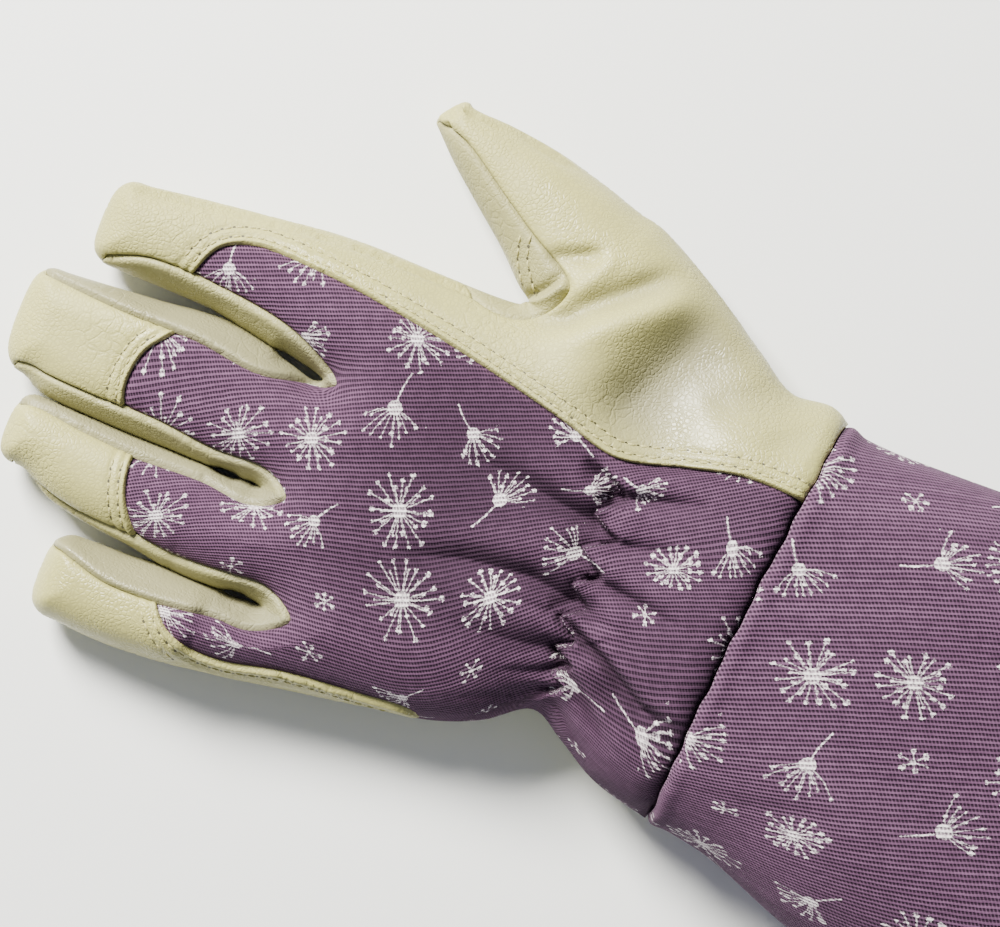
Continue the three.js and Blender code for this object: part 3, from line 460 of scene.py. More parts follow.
def trace(points, x, y):
    """For a line of a few points: the nearest place on it, how far, on which side and at which share."""
    corners = np.array(points, float)
    passed = np.concatenate([[0], np.cumsum(np.hypot(*np.diff(corners, axis=0).T))])
    away = np.full(len(x), np.inf)
    above = np.zeros(len(x), bool)
    share = np.zeros(len(x))
    foot = np.zeros((len(x), 2))
    for (x0, y0), (x1, y1), start, end in zip(corners[:-1], corners[1:], passed[:-1], passed[1:]):
        dx = x1 - x0
        dy = y1 - y0
        t = np.clip(((x - x0) * dx + (y - y0) * dy) / (dx * dx + dy * dy), 0, 1)
        here = np.hypot(x - x0 - dx * t, y - y0 - dy * t)
        closer = here < away
        away[closer] = here[closer]
        upper = (dx * (y - y0) - dy * (x - x0)) * (dx * VIEW_UP[1] - dy * VIEW_UP[0]) > 0
        above[closer] = upper[closer]
        share[closer] = ((start + t * (end - start)) / passed[-1])[closer]
        foot[closer] = np.column_stack([x0 + dx * t, y0 + dy * t])[closer]
    return foot, away, above, share


def valley_depth(valleys, x, y):
    """Depth of creases with a steep upper side and a bank along each side, which fade towards their end."""
    STEEP_SIDE = 0.75
    GENTLE_SIDE = 1.3
    ROUND_SHARE = 0.68
    SHARP_SHARE = 0.32
    SHARP_HALF = 0.42
    BANK_ABOVE = 0.24
    BANK_BELOW = 0.1
    BANK_AT = 1.9
    FADING = 2.4
    START_SHARE = 0.8
    DEEPENING = 0.2
    depth = np.zeros(len(x))
    for points, deep, half in valleys:
        _, away, above, share = trace(points, x, y)
        spread = half * np.where(above, STEEP_SIDE, GENTLE_SIDE)
        crease = ROUND_SHARE * dent(away, spread) + SHARP_SHARE * np.exp(-away / (SHARP_HALF * spread))
        crease = crease - np.where(above, BANK_ABOVE, BANK_BELOW) * dent(away - BANK_AT * half, half)
        started = START_SHARE + DEEPENING * ease(0, 0.12, share)
        depth += deep * (1 - share ** FADING) * started * crease
    return depth


def fold_height(folds, x, y):
    """Height of broad swells, and of hollows where it is below zero."""
    height = np.zeros(len(x))
    for x0, y0, x1, y1, high, half_above, half_below in folds:
        dx = x1 - x0
        dy = y1 - y0
        length = math.hypot(dx, dy)
        t = ((x - x0) * dx + (y - y0) * dy) / length ** 2
        across = (dx * (y - y0) - dy * (x - x0)) / length
        above = across * (dx * VIEW_UP[1] - dy * VIEW_UP[0]) > 0
        # A fold fades in round its start and out round its end.
        window = ease(-0.25, 0.25, t) * (1 - ease(0.72, 1.25, t))
        height += high * window * dent(across, np.where(above, half_above, half_below))
    return height


def drawn_in(valleys, places):
    """How far the gathers draw the cloth to each side of their creases."""
    PULL = 0.22
    x, y = places.T
    pull = np.zeros((len(places), 2))
    for points, deep, half in valleys:
        foot, away, _, share = trace(points, x, y)
        fade = PULL * deep * (1 - share) / half * np.exp(-0.5 * (away / half) ** 2)
        pull += (places - foot) * fade[:, None]
    return pull


def form(places, on_top):
    """Outer surface of the filled-out glove at places of its plan."""
    ON_OUTLINE = 0.02
    HAND_MIDDLE = 2
    WIDEST_SPREAD = 1.3
    places = np.asarray(places, float)
    x, y = places.T
    distance, foot, _ = nearest(outline, places)
    outward = (foot - places) / np.maximum(distance, 1e-9)[:, None]
    on_edge = np.flatnonzero(distance <= ON_OUTLINE)
    if len(on_edge):
        gaps = np.hypot(*(places[on_edge][:, None, :] - outline[None, :, :]).T)
        outward[on_edge] = -aside_of(outline)[gaps.argmin(0)]
    # The hand's sections give way to the thumb's over its root, and the back is domed but not the fingers.
    along = thumb_along(places)
    thumb = ease(54, 70, y) * (1 - ease(40, 75, x))

    def level(name):
        hand = along_rows(SECTION_X, SECTION[name], x)
        if name not in THUMB_SECTION:
            return hand
        return hand + (along_rows(THUMB_ALONG, THUMB_SECTION[name], along) - hand) * thumb

    side = level("side")
    if on_top:
        spread = np.minimum(WIDEST_SPREAD, np.abs(y - HAND_MIDDLE) / DOME_SPAN)
        dome = DOME * spread ** 2 * ease(-60, -10, x) * (1 - ease(60, 110, x)) * (1 - thumb)
        far = level("top") - dome - valley_depth(GATHER_VALLEYS, x, y) + fold_height(SOFT_FOLDS, x, y)
        roll = level("top_roll")
    else:
        far = level("under")
        roll = level("under_roll")
    roll = np.minimum(roll, finger_room(places))
    share = np.clip(distance / roll, 0, 1)
    height = side + (far - side) * bulge(share)
    steep = np.abs(far - side) * (1 - share) / roll
    up = 1 if on_top else -1
    normal = np.column_stack([outward * steep[:, None], up * np.maximum(bulge(share), 1e-4)])
    normal /= np.linalg.norm(normal, axis=1)[:, None]
    wrapped = roll * (np.arcsin(1 - share) - (1 - share))
    cloth = places + outward * wrapped[:, None]
    if on_top:
        cloth += drawn_in(GATHER_VALLEYS, places)
    point = np.column_stack([x, y, height])
    return dict(point=point, normal=normal, distance=distance, roll=roll, cloth=cloth)


def edge_rings(on_top):
    """Places on rings inside the outline, at even steps round its rounding."""
    CLEAR_OF_OUTLINE = 0.95
    kept = []
    roll = form(hand_outline, on_top)["roll"]
    inward = aside_of(hand_outline)
    for turn in RING_TURNS:
        depth = roll * (1 - math.cos(turn))
        places = hand_outline + inward * depth[:, None]
        kept.append(places[away_from(outline, places) > depth * CLEAR_OF_OUTLINE])
    return np.vstack(kept)


def hexagons(step):
    """Places all over the hand at the corners of even triangles."""
    LOWEST_Y = -72
    HIGHEST_Y = 106
    FIRST_X = -127
    rows = []
    for i, y in enumerate(np.arange(LOWEST_Y, HIGHEST_Y, step * math.sqrt(3) / 2)):
        x = np.arange(FIRST_X + (i % 2) * step / 2, HAND_END, step)
        rows.append(np.column_stack([x, np.full(len(x), y)]))
    places = np.vstack(rows)
    return places[in_glove(places)]


def thin_out(fixed, candidates, clearances):
    """The candidates, in order, that keep clear of the fixed places and of each other."""
    CELL = 1.2
    table = {}
    for x, y in fixed.tolist():
        table.setdefault((int(x // CELL), int(y // CELL)), []).append((x, y))
    kept = []
    for (x, y), clear in zip(candidates.tolist(), clearances.tolist()):
        column = int(x // CELL)
        row = int(y // CELL)
        square = clear * clear
        neighbours = [p for i in (column - 1, column, column + 1) for j in (row - 1, row, row + 1)
                      for p in table.get((i, j), ())]
        if all((px - x) ** 2 + (py - y) ** 2 >= square for px, py in neighbours):
            kept.append((x, y))
            table.setdefault((column, row), []).append((x, y))
    return np.array(kept).reshape(-1, 2)


ring_places = {on_top: edge_rings(on_top) for on_top in (True, False)}
grid_places = {on_top: hexagons(GRID_STEP[on_top]) for on_top in (True, False)}


def evenly(corners, step):
    """Places at even steps along straight lines from corner to corner."""
    corners = np.array(corners, float)
    walked = np.concatenate([[0], np.cumsum(np.hypot(*np.diff(corners, axis=0).T))])
    at = np.linspace(0, walked[-1], max(2, round(walked[-1] / step)))
    return np.column_stack([np.interp(at, walked, corners[:, 0]), np.interp(at, walked, corners[:, 1])])


def without_slivers(faces, count):
    """The triangles of a panel without the few that were cut off from it at the ends of a seam."""
    SLIVER_TRIANGLES = 12
    group = np.arange(count)
    before = group - 1
    while (group != before).any():
        before = group.copy()
        np.minimum.at(group, faces.ravel(), np.repeat(group[faces].min(axis=1), 3))
        group = group[group]
    groups = group[faces[:, 0]]
    return faces[np.bincount(groups)[groups] > SLIVER_TRIANGLES]


def cut_panel(belongs, seams, cuts, on_top, creases=()):
    """Plan of one piece, as places and triangles, with rows of places along its seams and creases."""
    ROW_CLEARANCE = 0.28
    RING_CLEARANCE = 0.6
    GRID_CLEARANCE = 0.7
    EDGE_CLEARANCE = 0.06
    EDGE_OPENING = 0.3
    SAME_PLACE = 1e-5
    lines = [np.vstack([hand_outline, hand_outline[:1]]), *seams, *cuts]
    fixed = np.vstack(lines)
    edges = []
    start = 0
    for line in lines:
        edges += [(start + i, start + i + 1) for i in range(len(line) - 1)]
        start += len(line)
    rows = np.vstack([line + aside_of(line) * way * row
                      for line in seams for row in SEAM_ROWS for way in (1, -1)])
    for crease in creases:
        line = evenly(crease, CREASE_STEP)
        rows = np.vstack([rows, line, *(line + aside_of(line) * row for row in CREASE_ROWS)])
    rows = rows[in_glove(rows)]
    rings = ring_places[on_top]
    grid = grid_places[on_top]
    candidates = np.vstack([rows, rings, grid])
    clearances = np.repeat([ROW_CLEARANCE, RING_CLEARANCE, GRID_CLEARANCE * GRID_STEP[on_top]],
                           [len(rows), len(rings), len(grid)])
    use = belongs(candidates)
    candidates = candidates[use]
    by_the_edge = EDGE_CLEARANCE + EDGE_OPENING * away_from(outline, candidates)
    clearances = np.minimum(clearances[use], by_the_edge)
    plan = np.vstack([fixed, thin_out(fixed, candidates, clearances)])
    places, _, faces, *_ = delaunay_2d_cdt([tuple(p) for p in plan], edges, [], 0, SAME_PLACE, False)
    places = np.array([tuple(p) for p in places])
    faces = np.array(faces)
    centres = places[faces].mean(1)
    faces = faces[in_glove(centres) & (centres[:, 0] < HAND_END) & belongs(centres)]
    used, faces = np.unique(without_slivers(faces, len(places)), return_inverse=True)
    return places[used], faces.reshape(-1, 3)


def raise_sheet(plan, faces, on_top, offset, held_to_outline=True):
    """Stands a plan on the form, moved out by the offset, and holds its edge to the glove's outline."""
    here = form(plan, on_top)
    hold = bulge(here["distance"] / OUTLINE_HOLD) if held_to_outline else 1
    points = here["point"] + here["normal"] * (offset * hold)[:, None]
    return dict(points=points, faces=faces, cloth=here["cloth"], on_top=on_top)


def make_piece(name, sheets, material, painted_shade=lambda places: 0.0):
    """Joins the sheets of one piece where they meet, and puts it in the place of its CAD node."""
    JOINED_WITHIN = 2e-6
    DARKEST_VALLEY = 5.2
    DARKEST_FOLD = 7
    LOWEST_SHADED = 6
    start = 0
    faces = []
    for sheet in sheets:
        turned = sheet["faces"] if sheet["on_top"] else sheet["faces"][:, ::-1]
        faces.append(turned + start)
        start += len(sheet["points"])
    points = np.vstack([sheet["points"] for sheet in sheets]) * MM
    cloth = np.vstack([sheet["cloth"] for sheet in sheets])
    mesh = bpy.data.meshes.new(name)
    mesh.from_pydata(points.tolist(), [], np.vstack(faces).tolist())
    layer = mesh.uv_layers.new(name="cloth")
    corners = np.empty(len(mesh.loops), np.int32)
    mesh.loops.foreach_get("vertex_index", corners)
    layer.data.foreach_set("uv", cloth[corners].astype(np.float32).ravel())
    built = bmesh.new()
    built.from_mesh(mesh)
    bmesh.ops.remove_doubles(built, verts=built.verts, dist=JOINED_WITHIN)
    built.to_mesh(mesh)
    built.free()
    mesh.polygons.foreach_set("use_smooth", np.ones(len(mesh.polygons), bool))
    mesh.materials.append(material)
    places = np.empty(3 * len(mesh.vertices), np.float32)
    mesh.vertices.foreach_get("co", places)
    x, y, z = places.reshape(-1, 3).T / MM
    # Painted shade: the hollow attribute darkens the creases of the gathers, the hollows of the soft folds on
    # top, and whatever shade each piece paints on besides.
    hollow = valley_depth(GATHER_VALLEYS, x, y) / DARKEST_VALLEY
    hollow = hollow + np.maximum(0, -fold_height(SOFT_FOLDS, x, y)) / DARKEST_FOLD
    hollow = hollow * (z > LOWEST_SHADED)
    hollow = hollow + painted_shade(np.column_stack([x, y]))
    shade = mesh.attributes.new("hollow", "FLOAT", "POINT")
    shade.data.foreach_set("value", np.clip(hollow, 0, 1).astype(np.float32))
    piece = stand(name, mesh)
    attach(piece, "root")
    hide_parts(name)


# The strips between the fingers and the thumb's front share their seams with the panels beside them.
# A strip's breadths are those that show along the finger before and after its gap, at values of X.
# Underneath, a share of the breadth is left. Its sides meet from closed_from on, and part again in a
# hollow that starts and ends at two distances before the crotch.
FOURCHETTES = [
    dict(name="fourchette_1", before="index", after="middle", crotch=1, turn=3.2,
         x=[-122, -109, -98, -80, -62, -52],
         before_breadth=[0, 1.6, 5.4, 5.4, 5.6, 3.2], after_breadth=[1, 3.6, 5.2, 7.2, 6, 2.6],
         closed_from=-82, hollow=(13, -6)),
    dict(name="fourchette_2", before="middle", after="ring", crotch=2, turn=6.6,
         x=[-120, -116.2, -112, -98, -82, -66, -52],
         before_breadth=[1.6, 2.4, 3.2, 4.6, 4.8, 3.2, 3.4], after_breadth=[0, 0.25, 1.6, 2.7, 3.1, 2.4, 3.2],
         closed_from=-122, hollow=(13, 7)),
    dict(name="fourchette_3", before="ring", after="little", crotch=3, turn=8,
         x=[-112, -100, -94.8, -90, -78, -64, -50, -41],
         before_breadth=[0.4, 1.2, 1.4, 1.6, 2.5, 2.4, 4, 4.4],
         after_breadth=[0, 0, 0.6, 4.4, 7.6, 6.6, 5, 4.9],
         closed_from=-78, hollow=(10, 5)),
]
UNDER_STRIP = 0.75
THUMB_SEAM = [(-49, 91), (-44, 89), (-36.5, 86.6), (-23.5, 78.1), (-12.5, 71), (-2.1, 65.2), (0.8, 61.6),
              (-1.6, 55.6), (-8, 50.8), (-18, 51.2), (-27, 57)]
THUMB_UNDER_SEAM = [(-30, 58), (-14, 48), (4, 43), (22, 47), (35, 59), (46, 78)]


def strip_line(strip, share):
    """Line of a strip's seam: along one finger, round the crotch and back along the next."""
    FIRST_STEP = 0.6
    x, y = CROTCHES[strip["crotch"]]
    turn = (x + strip["turn"] * share, y)
    sides = []
    for finger, side, out in (("before", "little_side", 1), ("after", "thumb_side", -1)):
        digit = DIGITS[strip[finger]]
        tip = digit["tip"][0]
        sides.append([(x, digit_point(digit, side, x - tip)[1] + out * share * wide)
                      for x, wide in zip(strip["x"], strip[finger + "_breadth"]) if x > tip + FIRST_STEP])
    return smooth_line([*sides[0], turn, *reversed(sides[1])], EDGE_STEP)


def strip_mouth(line):
    """Where a strip runs out at the finger tips: a line from one end to the other through the gap."""
    OUT = 4
    first_x, first_y = line[0]
    last_x, last_y = line[-1]
    return np.array([line[-1], (last_x - OUT, last_y + OUT), (first_x - OUT, first_y - OUT), line[0]])


# Each under True as it shows from above, and under False as it runs underneath.
strip_lines = {on_top: [strip_line(strip, share) for strip in FOURCHETTES]
               for on_top, share in ((True, 1), (False, UNDER_STRIP))}
strip_mouths = {on_top: [strip_mouth(line) for line in lines] for on_top, lines in strip_lines.items()}
strip_areas = {on_top: [np.vstack([line, strip_mouth(line)]) for line in lines]
               for on_top, lines in strip_lines.items()}
thumb_lines = {True: smooth_line(THUMB_SEAM, EDGE_STEP), False: smooth_line(THUMB_UNDER_SEAM, EDGE_STEP)}
thumb_corners = {True: [(-60, 60)], False: [(46, BEYOND_THUMB), (-70, BEYOND_THUMB), (-70, 58)]}
thumb_areas = {on_top: np.vstack([thumb_lines[on_top], thumb_corners[on_top]]) for on_top in (True, False)}
thumb_mouth = np.array([thumb_lines[True][-1], *thumb_corners[True], thumb_lines[True][0]])
areas_beside = {on_top: [*strip_areas[on_top], thumb_areas[on_top], gauntlet_area]
                for on_top in (True, False)}

# Depth and breadth of the turned edges, and how far the rows of stitches lie from the lapped edge.
TUCK = (1.1, 1.5)
THUMB_TUCK = (1.3, 1.6)
WRIST_TUCK = (2.4, 3.2)
STITCH_ROWS = [1.9, 4.3]


def tucked(lines, places, deep=TUCK[0], broad=TUCK[1]):
    """Drop of a panel's edges that turn down into the seams along the lines."""
    return sum(-deep * (1 - bulge(away_from(line, places) / broad)) for line in lines)


def lapped(away):
    """A folded leather edge that lies on the fabric, with two sewn rows pressed into it."""
    PROUD = 0.15
    EDGE_DROP = 1.7
    EDGE_ROUND = 0.85
    # Ridges before and between the sewn rows: height, distance from the edge and half breadth.
    RIDGES = [(0.2, 0.75, 0.5), (0.14, 2.65, 0.6)]
    ROW_DEPTH = 0.34
    ROW_HALF = 0.5
    rise = PROUD - EDGE_DROP * (1 - bulge(away / EDGE_ROUND))
    rise += sum(high * dent(away - at, half) for high, at, half in RIDGES)
    for row in STITCH_ROWS:
        rise -= ROW_DEPTH * dent(away - row, ROW_HALF)
    return rise


def index_piping(places):
    """The palm's leather shows as a narrow roll along the index finger's edge, inside the outline."""
    LOWEST_Y = 36
    PIPING_HEIGHT = 0.4
    PIPING_AT = 1.1
    PIPING_HALF = 0.9
    GROOVE_DEPTH = 1.0
    GROOVE_AT = 2.3
    GROOVE_HALF = 0.45
    x, y = places.T
    along_index = ease(-112, -104, x) * (1 - ease(-14, -6, x)) * (y > LOWEST_Y)
    away = away_from(outline, places)
    piping = PIPING_HEIGHT * dent(away - PIPING_AT, PIPING_HALF)
    return along_index * (piping - GROOVE_DEPTH * dent(away - GROOVE_AT, GROOVE_HALF))


def side_offset(places):
    tucks = tucked([strip_lines[True][0]], places) + tucked([thumb_lines[True]], places, *THUMB_TUCK)
    wrist = tucked([wrist_line], places, *WRIST_TUCK)
    return lapped(away_from(side_seam, places)) + tucks + wrist + index_piping(places)


def cap_offset(seam, sides):
    return lambda places: lapped(away_from(seam, places)) + tucked(sides, places)


def connect(tree, value, socket):
    """Sets a socket to a value, or joins it to another node's socket."""
    if isinstance(value, bpy.types.NodeSocket):
        tree.links.new(value, socket)
    else:
        socket.default_value = value


def calc(tree, operation, *values):
    """One step of arithmetic in a material."""
    made = tree.nodes.new("ShaderNodeMath")
    made.operation = operation
    for value, socket in zip(values, made.inputs):
        connect(tree, value, socket)
    return made.outputs[0]


def blend_colours(tree, share, first, second):
    made = tree.nodes.new("ShaderNodeMix")
    made.data_type = "RGBA"
    connect(tree, share, made.inputs["Factor"])
    connect(tree, first, made.inputs[6])
    connect(tree, second, made.inputs[7])
    return made.outputs[2]


def blend_numbers(tree, share, first, second):
    made = tree.nodes.new("ShaderNodeMix")
    made.data_type = "FLOAT"
    connect(tree, share, made.inputs["Factor"])
    connect(tree, first, made.inputs[2])
    connect(tree, second, made.inputs[3])
    return made.outputs[0]


def ramp(tree, value, low, high, to_low=0.0, to_high=1.0):
    """Value taken smoothly from one range to another."""
    made = tree.nodes.new("ShaderNodeMapRange")
    made.interpolation_type = "SMOOTHSTEP"
    connect(tree, value, made.inputs["Value"])
    for name, number in (("From Min", low), ("From Max", high), ("To Min", to_low), ("To Max", to_high)):
        connect(tree, number, made.inputs[name])
    return made.outputs[0]


def parts_of(tree, value, kind="XYZ"):
    """The three numbers that make up a place, or a colour where the kind is Color."""
    made = tree.nodes.new("ShaderNodeSeparate" + kind)
    connect(tree, value, made.inputs[0])
    return made.outputs


def noise(tree, coords, scale, detail=2.0, output="Fac"):
    made = tree.nodes.new("ShaderNodeTexNoise")
    connect(tree, coords, made.inputs["Vector"])
    made.inputs["Scale"].default_value = scale
    made.inputs["Detail"].default_value = detail
    return made.outputs[output]


def to_cell_edge(tree, coords, scale):
    """Distance to the edge of uneven cells."""
    made = tree.nodes.new("ShaderNodeTexVoronoi")
    made.feature = "DISTANCE_TO_EDGE"
    connect(tree, coords, made.inputs["Vector"])
    made.inputs["Scale"].default_value = scale
    return made.outputs["Distance"]


def moved(tree, coords, scale, by):
    """Coordinates shaken by a noise, so that cells and lines run unevenly."""
    shake = tree.nodes.new("ShaderNodeVectorMath")
    shake.operation = "MULTIPLY_ADD"
    connect(tree, noise(tree, coords, scale, 2.0, "Color"), shake.inputs[0])
    shake.inputs[1].default_value = (by, by, by)
    connect(tree, coords, shake.inputs[2])
    return shake.outputs[0]


def painted_shade_share(tree):
    """Share of painted shade at a place, from its hollow attribute: 0 in the open, 1 where it is deepest."""
    made = tree.nodes.new("ShaderNodeAttribute")
    made.attribute_name = "hollow"
    return made.outputs["Fac"]


def raise_bumps(tree, shader, height, strength, distance):
    """Shades the surface as if the height stood out from it, a height of 1 by the distance in metres."""
    made = tree.nodes.new("ShaderNodeBump")
    made.inputs["Strength"].default_value = strength
    made.inputs["Distance"].default_value = distance
    connect(tree, height, made.inputs["Height"])
    connect(tree, made.outputs[0], shader.inputs["Normal"])


def make_leather():
    """Cream leather: pebbles a millimetre and a quarter across, fine creases in patches, a waxy gloss."""
    CREAM = (0.368, 0.349, 0.126, 1)
    PALE = (0.428, 0.406, 0.150, 1)
    GROOVE = (0.165, 0.152, 0.088, 1)
    SHADED = (0.225, 0.214, 0.122, 1)
    # Features for each metre. A shake has the number of its waves for each metre and its length in metres.
    PEBBLES = 860
    PEBBLE_SHAKE = (420, 0.0009)
    CREASES = 240
    CREASE_SHAKE = (170, 0.0042)
    PORES = 3200
    SWELLS = 85
    WORN_PATCHES = 60
    CREASED_PATCHES = 38
    GLOSS_PATCHES = 34
    TONE_PATCHES = 22
    # Shares of the grain's height, beginning with the most worn pebbles and what fresh ones add to them.
    WORN_PEBBLE = 0.3
    FRESH_PEBBLE = 0.55
    CREASE_HEIGHT = 0.8
    PORE_HEIGHT = 0.18
    SWELL_HEIGHT = 1.3
    GRAIN_STRENGTH = 0.8
    GRAIN_DEPTH = 0.00013
    GROOVE_SOIL = 0.22
    CREASE_SOIL = 0.26
    GLOSSIEST = 0.3
    DULLEST = 0.52
    GROOVE_DULLED = 0.35
    material, tree, shader = new_material("cream_leather")
    place = tree.nodes.new("ShaderNodeTexCoord").outputs["Object"]
    hollow = painted_shade_share(tree)
    pebble = ramp(tree, to_cell_edge(tree, moved(tree, place, *PEBBLE_SHAKE), PEBBLES), 0.0, 0.26)
    fresh = ramp(tree, noise(tree, place, WORN_PATCHES, 2.0), 0.38, 0.62)
    crease = ramp(tree, to_cell_edge(tree, moved(tree, place, *CREASE_SHAKE), CREASES), 0.0, 0.11)
    creased = calc(tree, "MULTIPLY_ADD", hollow, 0.1, noise(tree, place, CREASED_PATCHES, 1.0))
    creased = ramp(tree, creased, 0.5, 0.66)
    crease_depth = calc(tree, "MULTIPLY", calc(tree, "SUBTRACT", 1.0, crease), creased)
    height = calc(tree, "MULTIPLY", pebble, calc(tree, "MULTIPLY_ADD", fresh, FRESH_PEBBLE, WORN_PEBBLE))
    height = calc(tree, "SUBTRACT", height, calc(tree, "MULTIPLY", crease_depth, CREASE_HEIGHT))
    height = calc(tree, "MULTIPLY_ADD", noise(tree, place, PORES, 2.0), PORE_HEIGHT, height)
    height = calc(tree, "MULTIPLY_ADD", noise(tree, place, SWELLS, 2.0), SWELL_HEIGHT, height)
    raise_bumps(tree, shader, height, GRAIN_STRENGTH, GRAIN_DEPTH)
    tone = blend_colours(tree, ramp(tree, noise(tree, place, TONE_PATCHES, 3.0), 0.3, 0.7), CREAM, PALE)
    groove_soil = calc(tree, "MULTIPLY", calc(tree, "SUBTRACT", 1.0, pebble), GROOVE_SOIL)
    soil = calc(tree, "MAXIMUM", groove_soil, calc(tree, "MULTIPLY", crease_depth, CREASE_SOIL))
    tone = blend_colours(tree, soil, tone, GROOVE)
    # Painted shade: the leather is darkened towards its shaded colour in folds and between the fingers.
    tone = blend_colours(tree, hollow, tone, SHADED)
    connect(tree, tone, shader.inputs["Base Color"])
    rough = ramp(tree, noise(tree, place, GLOSS_PATCHES, 3.0), 0.36, 0.62, GLOSSIEST, DULLEST)
    connect(tree, calc(tree, "MULTIPLY_ADD", soil, GROOVE_DULLED, rough), shader.inputs["Roughness"])
    shader.inputs["Specular IOR Level"].default_value = 0.4
    return material


leather = make_leather()
by_fingers = strip_lines[True]
# Name, area, the lapped seam followed by the turned ones, and the offset from the form.
LEATHER_PANELS = [
    ("side_leather", side_area, [side_seam, by_fingers[0], thumb_lines[True], wrist_line], side_offset),
    ("middle_tip", middle_area, [middle_seam, *by_fingers[:2]], cap_offset(middle_seam, by_fingers[:2])),
    ("ring_tip", ring_area, [ring_seam, *by_fingers[1:]], cap_offset(ring_seam, by_fingers[1:])),
    ("little_side", little_area, [little_seam, by_fingers[2]], cap_offset(little_seam, by_fingers[2:])),
]
for name, area, seams, offset in LEATHER_PANELS:
    def in_panel(places, area=area):
        return inside(area, places) & ~in_any(areas_beside[True], places)

    plan, faces = cut_panel(in_panel, seams, [*strip_mouths[True], thumb_mouth], True)
    make_piece(name, [raise_sheet(plan, faces, True, offset(plan))], leather)

# Strips between the fingers: one strip of the same leather for each gap, sewn along one finger,
# round the crotch and back along the next. Its edge stands as a soft roll over the fabric, and
# near the crotch the two sides meet, so that the gap ends in a dark hollow.
ROLL_HEIGHT = 0.55
ROLL_AT = 1.5
ROLL_FLATTENED = 0.75
STRIP_TUCK = (1.5, 0.9)
STRIP_SUNK = 0.5
PRESSED = 0.15
WIDEST_MEETING = 2.4
SAG_HALF = 2.6
# Painted shade on the strips, as shares of the leather's shaded colour: some all along the gaps, more on the
# side that faces the lamp but lies in the shadow of the finger above, and more towards the hollow by the
# crotch.
SHADE_EVERYWHERE = 0.42
SHADE_FACING_LIGHT = 0.5
SHADE_IN_HOLLOW = 0.3


def gap_sides(strip, x):
    """The edges of the two fingers that face each other, at X, which go on straight at the crotch."""
    FIRST_STEP = 0.5
    STRAIGHT_FROM = 6
    x = np.minimum(x, CROTCHES[strip["crotch"]][0] - STRAIGHT_FROM)
    edges = []
    for finger, side in (("before", "little_side"), ("after", "thumb_side")):
        digit = DIGITS[strip[finger]]
        steps = [max(FIRST_STEP, at - digit["tip"][0]) for at in x]
        edges.append(np.array([digit_point(digit, side, step)[1] for step in steps]))
    return edges


for i, strip in enumerate(FOURCHETTES):
    crotch_x = CROTCHES[strip["crotch"]][0]
    sheets = []
    for on_top in (True, False):
        edge = strip_lines[on_top][i]

        def in_strip(places, area=strip_areas[on_top][i]):
            return inside(area, places)

        plan, faces = cut_panel(in_strip, [edge], [strip_mouths[on_top][i]], on_top)
        x = plan[:, 0]
        if on_top:
            away = away_from(edge, plan)
            roll = ROLL_HEIGHT * (1 - ROLL_FLATTENED * ease(crotch_x - 14, crotch_x - 5, x))
            rolled = roll * (away / ROLL_AT) * np.exp(1 - away / ROLL_AT)
            offset = tucked([edge], plan, *STRIP_TUCK) - STRIP_SUNK * ease(1, 4, away) + rolled
        else:
            offset = tucked([edge], plan)
        upper, lower = gap_sides(strip, x)
        meeting = np.clip((upper - lower) / 2 + PRESSED, 0, WIDEST_MEETING)
        meeting *= ease(strip["closed_from"], strip["closed_from"] + 12, x)
        far_end, near_end = [crotch_x - step for step in strip["hollow"]]
        meeting *= 1 - ease(far_end - 2, far_end + 2, x) * (1 - ease(near_end - 1, near_end + 2, x))
        meeting *= ease(0.2, 2.4, away_from_all([strip_lines[True][i], strip_lines[False][i]], plan))
        from_outline = away_from(outline, plan)
        offset = offset * bulge(from_outline / OUTLINE_HOLD) + meeting * dent(from_outline, SAG_HALF)
        sheets.append(raise_sheet(plan, faces, on_top, offset, held_to_outline=False))

    # Painted shade on a strip: the share called soil is shade along the gap, the shadow of the finger above
    # on the side facing the lamp, and the dark of the hollow by the crotch.
    def strip_painted_shade(places, strip=strip, end=far_end):
        upper, lower = gap_sides(strip, places[:, 0])
        facing_light = ease(0.6, -0.6, places[:, 1] - (upper + lower) / 2)
        soil = SHADE_EVERYWHERE + SHADE_FACING_LIGHT * facing_light
        return soil + SHADE_IN_HOLLOW * ease(end - 4, end + 4, places[:, 0])

    make_piece(strip["name"], sheets, leather, painted_shade=strip_painted_shade)

# Front of the thumb: a narrow leather panel that shows along the thumb's inner side and goes on
# underneath, sewn to the broad panel with a turned seam. Its lower edge rolls into the web.
WEB_ROLL = [(-7.4, 54.4), (-3.0, 58.1), (-0.7, 61.7)]
WEB_CREASE = [(-8.6, 55.9), (-4.2, 60.3), (-1.5, 65.2)]
WEB_ROLL_HEIGHT = 1.5
WEB_ROLL_HALF = 1.2
WEB_CREASE_DEPTH = 1.5
WEB_CREASE_HALF = 0.9
THUMB_FRONT_TUCK = (1.6, 2.2)
